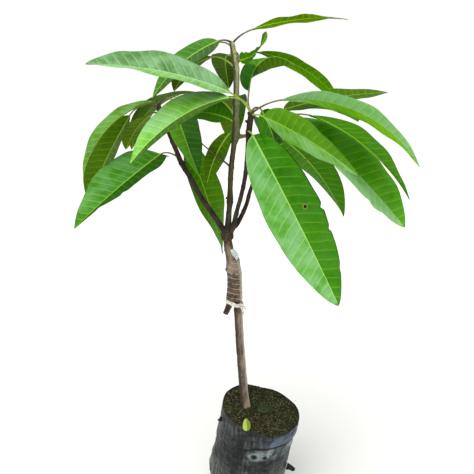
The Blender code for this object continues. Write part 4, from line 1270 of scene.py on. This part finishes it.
def turned_out(obj):
    """Turn a closed mesh's faces outward, flipping all if its volume is negative."""
    mesh = obj.data
    co = np.zeros(len(mesh.vertices) * 3)
    mesh.vertices.foreach_get("co", co)
    co = co.reshape(-1, 3)
    mesh.calc_loop_triangles()
    tri = np.zeros(len(mesh.loop_triangles) * 3, np.int32)
    mesh.loop_triangles.foreach_get("vertices", tri)
    a, b, c = (co[tri.reshape(-1, 3)[:, k]] for k in range(3))
    if (a * np.cross(b, c)).sum() < 0:
        mesh.flip_normals()
    mesh.update()


# ---------------------------------------------------------------- bag and soil

def rim_wave(turn):
    """Small rise and fall of the rim round the bag: sin 3t + 0.6 sin 7t."""
    return RIM_WAVE * (np.sin(3 * turn + 0.7) + 0.6 * np.sin(7 * turn))


def wall_points(height, radius, turn):
    """Points of the bag's wall: a round of the given radius, bulged by three
    waves that grow upward, shifted and tilted towards the rim."""
    share = height / BAG_HEIGHT
    bulge = 1 + share * (1 - 0.5 * share) * (
        0.030 * np.cos(2 * turn + 0.5) + 0.018 * np.sin(3 * turn)
        + 0.012 * np.cos(5 * turn + 1.0))
    reach = radius * bulge
    x = reach * np.cos(turn) + BAG_TOP_SHIFT * share
    y = reach * np.sin(turn)
    lean = np.interp(height, (0.150, 0.175, 0.195), (0.0, 0.8, 1.0))
    z = height - lean * math.tan(BAG_TILT) * (x - BAG_TOP_SHIFT)
    z = z + ease(0.175, 0.195, height) * rim_wave(turn)
    return np.stack([x, y, z], -1)


def turn_from(turn, place):
    """Angle from a place on the round, from minus to plus half a turn."""
    return (turn - place + np.pi) % (2 * np.pi) - np.pi


def across_front(turn, rise, fall):
    """One across the front of the bag and zero behind: the rise eased between its two
    angles, times one less the fall eased between its own."""
    signed = np.where(turn > np.pi, turn - 2 * np.pi, turn)
    return ease(*rise, signed) * (1 - ease(*fall, signed))


def crumple(height, turn):
    """How far the film stands out, in metres: broad dents, gathers at the foot,
    a turned-over band across the front, sharp fine creases and a pinched side.
    Also the height of the band's lower edge."""
    spot = np.stack([np.cos(turn) * 0.067, np.sin(turn) * 0.067, height], -1)
    dent = 0.0016 * rough(spot * 20.0, 51, 2)
    gather = 0.0026 * (crease(spot * np.array((70.0, 70.0, 9.0)), 53, 2) - 0.35)
    gather = gather * (1 - ease(0.030, 0.110, height) * 0.72)
    fine = 0.0009 * (crease(spot * np.array((60.0, 60.0, 95.0)), 57, 3) - 0.35)
    edge = 0.150 + 0.018 * np.cos(turn + 0.9) + 0.003 * rough(
        np.stack([np.cos(turn) * 2, np.sin(turn) * 2, turn * 0], -1), 59, 2)
    band = 0.0018 * ease(-0.004, 0.003, height - edge) * (1 - ease(0.01, 0.03, height - edge))
    groove = -0.0020 * hump(height, edge - 0.003, 0.0022)
    pinch = hump(turn_from(turn, PINCHED_SIDE), 0.0, 0.50) * (
        0.0018 * hump(height, 0.071, 0.006) - 0.0020 * hump(height, 0.114, 0.014)
        - 0.0085 * hump(height, 0.040, 0.016))
    front = across_front(turn, (-2.1, -1.6), (-0.1, 0.3))
    band, groove = band * (0.15 + 0.85 * front), groove * (0.1 + 0.9 * front)
    quiet = ease(0.0, 0.012, height)
    return (dent + gather + fine + band + groove + pinch) * quiet, edge


def near_rim(height):
    """Share of the crumples left at a height: all below the rim, a quarter at it."""
    return 0.25 + 0.75 * (1 - ease(0.186, BAG_HEIGHT, height))


def hole_shares(height, turn):
    """How far inside a hole each point of the wall is, and how near its torn edge,
    both from 0 to 1."""
    inside, edge = np.zeros(height.shape), np.zeros(height.shape)
    for where, level, size in HOLES:
        away = np.sqrt((turn_from(turn, where) * 0.055) ** 2 + (height - level) ** 2)
        inside = np.maximum(inside, 1 - ease(size * 0.45, size * 0.85, away))
        edge = np.maximum(edge, hump(away, size * 1.25, size * 0.4))
    return inside, edge


def make_bag():
    """The grow bag: one closed skin from the middle of its floor out, up the
    crumpled wall, over the thin rim and down inside under the soil."""
    profile = spline_rows([((h, r, 0.0), 0.0) for h, r in BAG_PROFILE], BAG_ROWS)
    turn = round_turns(BAG_COLUMNS)[None]
    h, t = np.broadcast_arrays(profile[:, 0:1], turn)
    out, edge = crumple(h, t)
    hole, torn = hole_shares(h, t)
    wall = wall_points(h, profile[:, 1:2] + out * near_rim(h) - hole * 0.0012, t)
    stands = np.clip((out + 0.0022) / 0.0052, 0, 1)
    front = across_front(t, (-1.95, -1.2), (-0.3, 0.2))
    scuffed = np.maximum(hump(h, edge - 0.014, 0.011) * front, 0.9 * torn)
    foot = wall[0:1] * np.linspace(0.12, 0.96, FLOOR_RINGS)[:, None, None]
    foot[..., 2] = 0.0
    down = np.linspace(0.0, 1.0, SKIRT_RINGS)[:, None]
    inner_height = BAG_HEIGHT - SKIRT_DEPTH * down
    inner_radius = np.interp(inner_height, profile[:, 0], profile[:, 1])
    ih, it = np.broadcast_arrays(inner_height, turn)
    inner_out = crumple(ih, it)[0] * near_rim(ih)
    inner = wall_points(ih, inner_radius + inner_out - FILM, it)
    shares = np.ones((CLOSING_RINGS, 1, 3))
    shares[..., :2] = np.linspace(0.9, 0.1, CLOSING_RINGS)[:, None, None]
    middle = np.array((BAG_TOP_SHIFT, 0.0, 0.0))
    close = middle + (inner[-1:] - middle) * shares
    plain = np.zeros((1, BAG_COLUMNS, 3)) + np.array((0.4, 0.0, 0.0))
    values = np.concatenate([np.repeat(plain, FLOOR_RINGS, 0),
                             np.stack([stands, hole, scuffed], -1),
                             np.repeat(plain, SKIRT_RINGS + CLOSING_RINGS, 0)])
    shape = Shape()
    shape.rings(np.concatenate([foot, wall, inner, close]), 0, {"crumple": values})
    film = film_finish()
    shape.piece("bag_film", [film], ["grow_bag"])
    return film


def soil_level(x, y):
    """Height of the soil: tilted with the rim, mounded, lumpy at two sizes, and
    with a hollow beside the foot of the trunk."""
    out = np.hypot(x - BAG_TOP_SHIFT, y) / BAG_TOP_RADIUS
    base = BAG_HEIGHT - RIM_RISE - math.tan(BAG_TILT) * (x - BAG_TOP_SHIFT)
    base = base + SOIL_MOUND * (1 - out ** 2)
    base = base - 0.0045 * np.exp(-((x - 0.008) / 0.007) ** 2 - (y / 0.008) ** 2)
    spot = np.stack([x, y, x * 0 + 0.3], -1)
    lumps = 0.0030 * rough(spot * 70.0, 71, 3) + 0.0014 * rough(spot * 420.0, 73, 3)
    return base + lumps * (1 - 0.5 * ease(0.85, 1.0, out))


def soil_edge(turn):
    """Points where the soil meets the inside of the film."""
    level = np.full(turn.shape, BAG_HEIGHT - RIM_RISE)
    radius = np.interp(level, *zip(*BAG_PROFILE))
    return wall_points(level, radius + crumple(level, turn)[0] * 0.4 - FILM * 0.6, turn)


def make_soil():
    """Mossy soil: a lumpy disc that meets the inside of the film and is closed
    below by three rings, with moss, grit and dry fibres on it."""
    edge = soil_edge(round_turns(SOIL_COLUMNS))
    share = np.sqrt(np.linspace(0.0004, 1.0, SOIL_ROWS))[:, None]
    x = BAG_TOP_SHIFT + (edge[None, :, 0] - BAG_TOP_SHIFT) * share
    y = edge[None, :, 1] * share
    top = np.stack([x, y, soil_level(x, y)], -1)
    low = top[[2, SOIL_ROWS // 2, -1]]
    low[..., 0] = BAG_TOP_SHIFT + (low[..., 0] - BAG_TOP_SHIFT) * 0.92
    low[..., 1] *= 0.92
    low[..., 2] = edge[:, 2].min() - 0.004
    low[:2, :, 2] -= 0.001
    shape = Shape()
    shape.rings(np.concatenate([low, top[::-1]]))
    shape.piece("moss_soil", [soil_finish()], ["soil"])
    make_moss()
    make_grit()
    make_fibres()


def scattered(count, seed, spread=0.985):
    """Places on the soil at random, evenly over its area, with random numbers."""
    draw = np.random.default_rng(seed)
    share = spread * np.sqrt(draw.random(count))
    edge = soil_edge(draw.random(count) * 2 * np.pi)
    x = BAG_TOP_SHIFT + share * (edge[:, 0] - BAG_TOP_SHIFT)
    y = share * edge[:, 1]
    return np.stack([x, y, soil_level(x, y)], -1), draw


def loose_piece(name, colours, scale, points, faces):
    """A piece of many small closed solids that lies on the soil: points by solid
    and corner, and the faces of one solid."""
    solids, corners = points.shape[:2]
    start = np.arange(solids)[:, None, None] * corners
    faces = (start + np.array(faces)).reshape(-1, 3)
    shape = Shape()
    shape.keep(points)
    shape.cover(faces, np.zeros((len(faces), 3, 2)))
    shape.piece(name, [speckled_finish(name, *colours, scale)], ["soil"], False)


def make_moss():
    """Moss sprigs: three-sided spikes, a triangle round each place with a tip that
    leans, thicker where noise is high, and one bright patch."""
    turn = round_turns(3)
    foot = np.stack([np.cos(turn), np.sin(turn), turn * 0], -1)
    for number, (name, count, size, *colours) in enumerate(MOSS):
        places, draw = scattered(count, 101 + number)
        patch = grain(places * np.array((55.0, 55.0, 0.0)), 77 + number)
        keep = patch > draw.random(count) * 0.9 - 0.35
        if name == "moss_patch":
            away = np.hypot(*((places[:, :2] - PATCH_CENTRE) / PATCH_REACH).T)
            keep = (away < 1.0) & (draw.random(count) > 0.25 + 0.6 * away)
        places = places[keep]
        count = len(places)
        lean = unit(np.stack([draw.normal(0, 0.55, count), draw.normal(0, 0.55, count),
                              np.ones(count)], -1))
        sizes = size * draw.uniform(0.5, 1.5, count)
        widths = sizes * 0.26
        base = places[:, None] + foot[None] * widths[:, None, None]
        base[..., 2] -= widths[:, None] * 0.6
        tip = places + lean * sizes[:, None]
        loose_piece(name, colours, 700, np.concatenate([base, tip[:, None]], 1),
                    ((0, 1, 3), (1, 2, 3), (2, 0, 3), (2, 1, 0)))


def make_grit():
    """Grit: flattened eight-faced stones with corners at uneven distances."""
    places, draw = scattered(GRIT_COUNT, 131)
    size = draw.uniform(0.0004, 0.0014, GRIT_COUNT)
    corner = np.array(((-1, 0, 0), (0, -1, 0), (0, 0, -1), (0, 0, 1), (0, 1, 0), (1, 0, 0)))
    uneven = draw.uniform(0.6, 1.3, (GRIT_COUNT, 6, 1))
    points = places[:, None] + corner * uneven * size[:, None, None] * (1.2, 1.0, 0.7)
    faces = []
    for sx, sy, sz in itertools.product((-1, 1), repeat=3):
        trio = (5 if sx > 0 else 0, 4 if sy > 0 else 1, 3 if sz > 0 else 2)
        faces.append(trio if sx * sy * sz > 0 else trio[::-1])
    loose_piece("grit", ((84, 74, 56), (150, 140, 116)), 500, points, faces)


def make_fibres():
    """Dry fibres: thin tapered tubes that rise and fall over the soil."""
    places, draw = scattered(FIBRE_COUNT, 151, 0.93)
    shape = Shape()
    for place in places:
        turns = draw.uniform(0, 360) + np.array((0.0, draw.uniform(-90, 90)))
        path = bent_run(place + np.array((0, 0, 0.0004)), turns,
                        (draw.uniform(5, 40), draw.uniform(-40, 5)),
                        draw.uniform(0.004, 0.013), 8)
        shape.rings(tube_points(path, np.linspace(0.00028, 0.00010, len(path)), 5))
    shape.piece("dry_fibres", [speckled_finish("dry_fibre", (112, 104, 64), (158, 150, 102), 900)],
                ["soil"])


def make_scraps(film):
    """Torn film flaps on the bag's sides and a fallen leaf at the rim."""
    strip_piece("film_flap_left", film, "grow_bag",
                (((-0.0400, -0.012, 0.1780), 0.0045), ((-0.0445, -0.014, 0.1785), 0.0038),
                 ((-0.0480, -0.015, 0.1765), 0.0026), ((-0.0520, -0.015, 0.1760), 0.0008)),
                (0.1, -0.9, 0.4), 61)
    strip_piece("film_flap_right", film, "grow_bag",
                (((0.0740, -0.020, 0.0960), 0.0060), ((0.0800, -0.022, 0.0955), 0.0045),
                 ((0.0850, -0.022, 0.0925), 0.0036), ((0.0890, -0.021, 0.0915), 0.0022)),
                (0.1, -0.9, 0.4), 67)
    length = 0.0185
    line = bent_run(np.array((-0.0042, -0.0600, 0.1968)), (98, 104), (60, 40), length, 40)
    side, face = blade_axes(line, (0, 0))
    rings, values, slots = blade_rings(line, side, face, 0.0150, 32, (0.42, 0.66), 0.6, 9)
    shape = Shape()
    shape.rings(rings, slots, {"blade": values})
    dry = blade_finish("fallen_leaf", ((104, 126, 40), (182, 198, 102)), (176, 192, 90), 0.1,
                       vein_gap(length))
    shape.piece("fallen_leaf", [dry, dry], ["soil"])


# ---------------------------------------------------------------- studio

def added(name, data):
    """A new object of the given data, in the scene."""
    obj = bpy.data.objects.new(name, data)
    bpy.context.scene.collection.objects.link(obj)
    return obj


def placed(right, up, back, place):
    """Matrix with the given axes at a place."""
    return Matrix([[right[k], up[k], back[k], place[k]] for k in range(3)] + [[0, 0, 0, 1]])


def make_camera():
    """The camera, pitched down and then rolled about its own axis."""
    pitch, roll = math.radians(PITCH), math.radians(ROLL)
    level = np.array((1.0, 0.0, 0.0))
    ahead = np.array((0.0, math.cos(pitch), -math.sin(pitch)))
    upright = np.cross(level, ahead)
    data = bpy.data.cameras.new("studio_camera")
    data.lens = LENS
    data.sensor_width = 36.0
    data.clip_start = 0.01
    camera = added("studio_camera", data)
    camera.matrix_world = placed(math.cos(roll) * level + math.sin(roll) * upright,
                                 -math.sin(roll) * level + math.cos(roll) * upright,
                                 -ahead, EYE)
    bpy.context.scene.camera = camera


def make_floor():
    """A pale square floor."""
    mesh = bpy.data.meshes.new("floor")
    r = FLOOR_REACH
    mesh.from_pydata([(-r, -r, 0), (r, -r, 0), (r, r, 0), (-r, r, 0)], [], [(0, 1, 2, 3)])
    paint = Finish("pale_floor", 0.9)
    paint.colour((0.88, 0.88, 0.88, 1.0))
    mesh.materials.append(paint.material)
    added("floor", mesh)


def make_surround():
    """Soft light from all round, seen by the camera as plain white."""
    world = bpy.data.worlds.new("studio")
    world.use_nodes = True
    nodes, links = world.node_tree.nodes, world.node_tree.links
    glow, seen = nodes["Background"], nodes.new("ShaderNodeBackground")
    for light, colour, strength in ((glow, (0.98, 0.99, 0.96, 1.0), 0.58),
                                    (seen, (1.0, 1.0, 1.0, 1.0), 1.0)):
        light.inputs[0].default_value = colour
        light.inputs[1].default_value = strength
    ray = nodes.new("ShaderNodeLightPath")
    either = nodes.new("ShaderNodeMixShader")
    links.new(ray.outputs["Is Camera Ray"], either.inputs[0])
    links.new(glow.outputs[0], either.inputs[1])
    links.new(seen.outputs[0], either.inputs[2])
    links.new(either.outputs[0], nodes["World Output"].inputs[0])
    bpy.context.scene.world = world


def make_lamps():
    """A wide high sun, and round lamps in front and behind, all aimed at the plant."""
    for name, place, aim_height, size, power, tint in (
            ("high_soft", (-1.1, -1.3, 3.6), 0.5, 50.0, 2.3, (1.0, 0.99, 0.96)),
            ("front_fill", (-1.6, -2.6, 1.5), 0.5, 1.6, 14.0, (1.0, 1.0, 0.98)),
            ("back_rim", (1.6, 2.0, 1.9), 0.6, 1.4, 16.0, (1.0, 1.0, 0.97))):
        sun = name == "high_soft"
        light = bpy.data.lights.new(name, "SUN" if sun else "AREA")
        if sun:
            light.angle = math.radians(size)
        else:
            light.shape = "DISK"
            light.size = size
        light.energy = power
        light.color = tint
        lamp = added(name, light)
        back = unit(np.array(place) - np.array((-0.05, 0.0, aim_height)))
        across = unit(np.cross((0.0, 0.0, 1.0), back))
        lamp.matrix_world = placed(across, np.cross(back, across), back, place)
        lamp.visible_camera = False


def make_studio():
    """Camera, pale floor, white surround and three soft lights."""
    make_camera()
    make_floor()
    make_surround()
    make_lamps()
    bpy.context.scene.view_settings.view_transform = "Standard"


make_studio()
paths = make_stems()
make_leaves(paths)
make_graft()
make_scraps(make_bag())
make_soil()
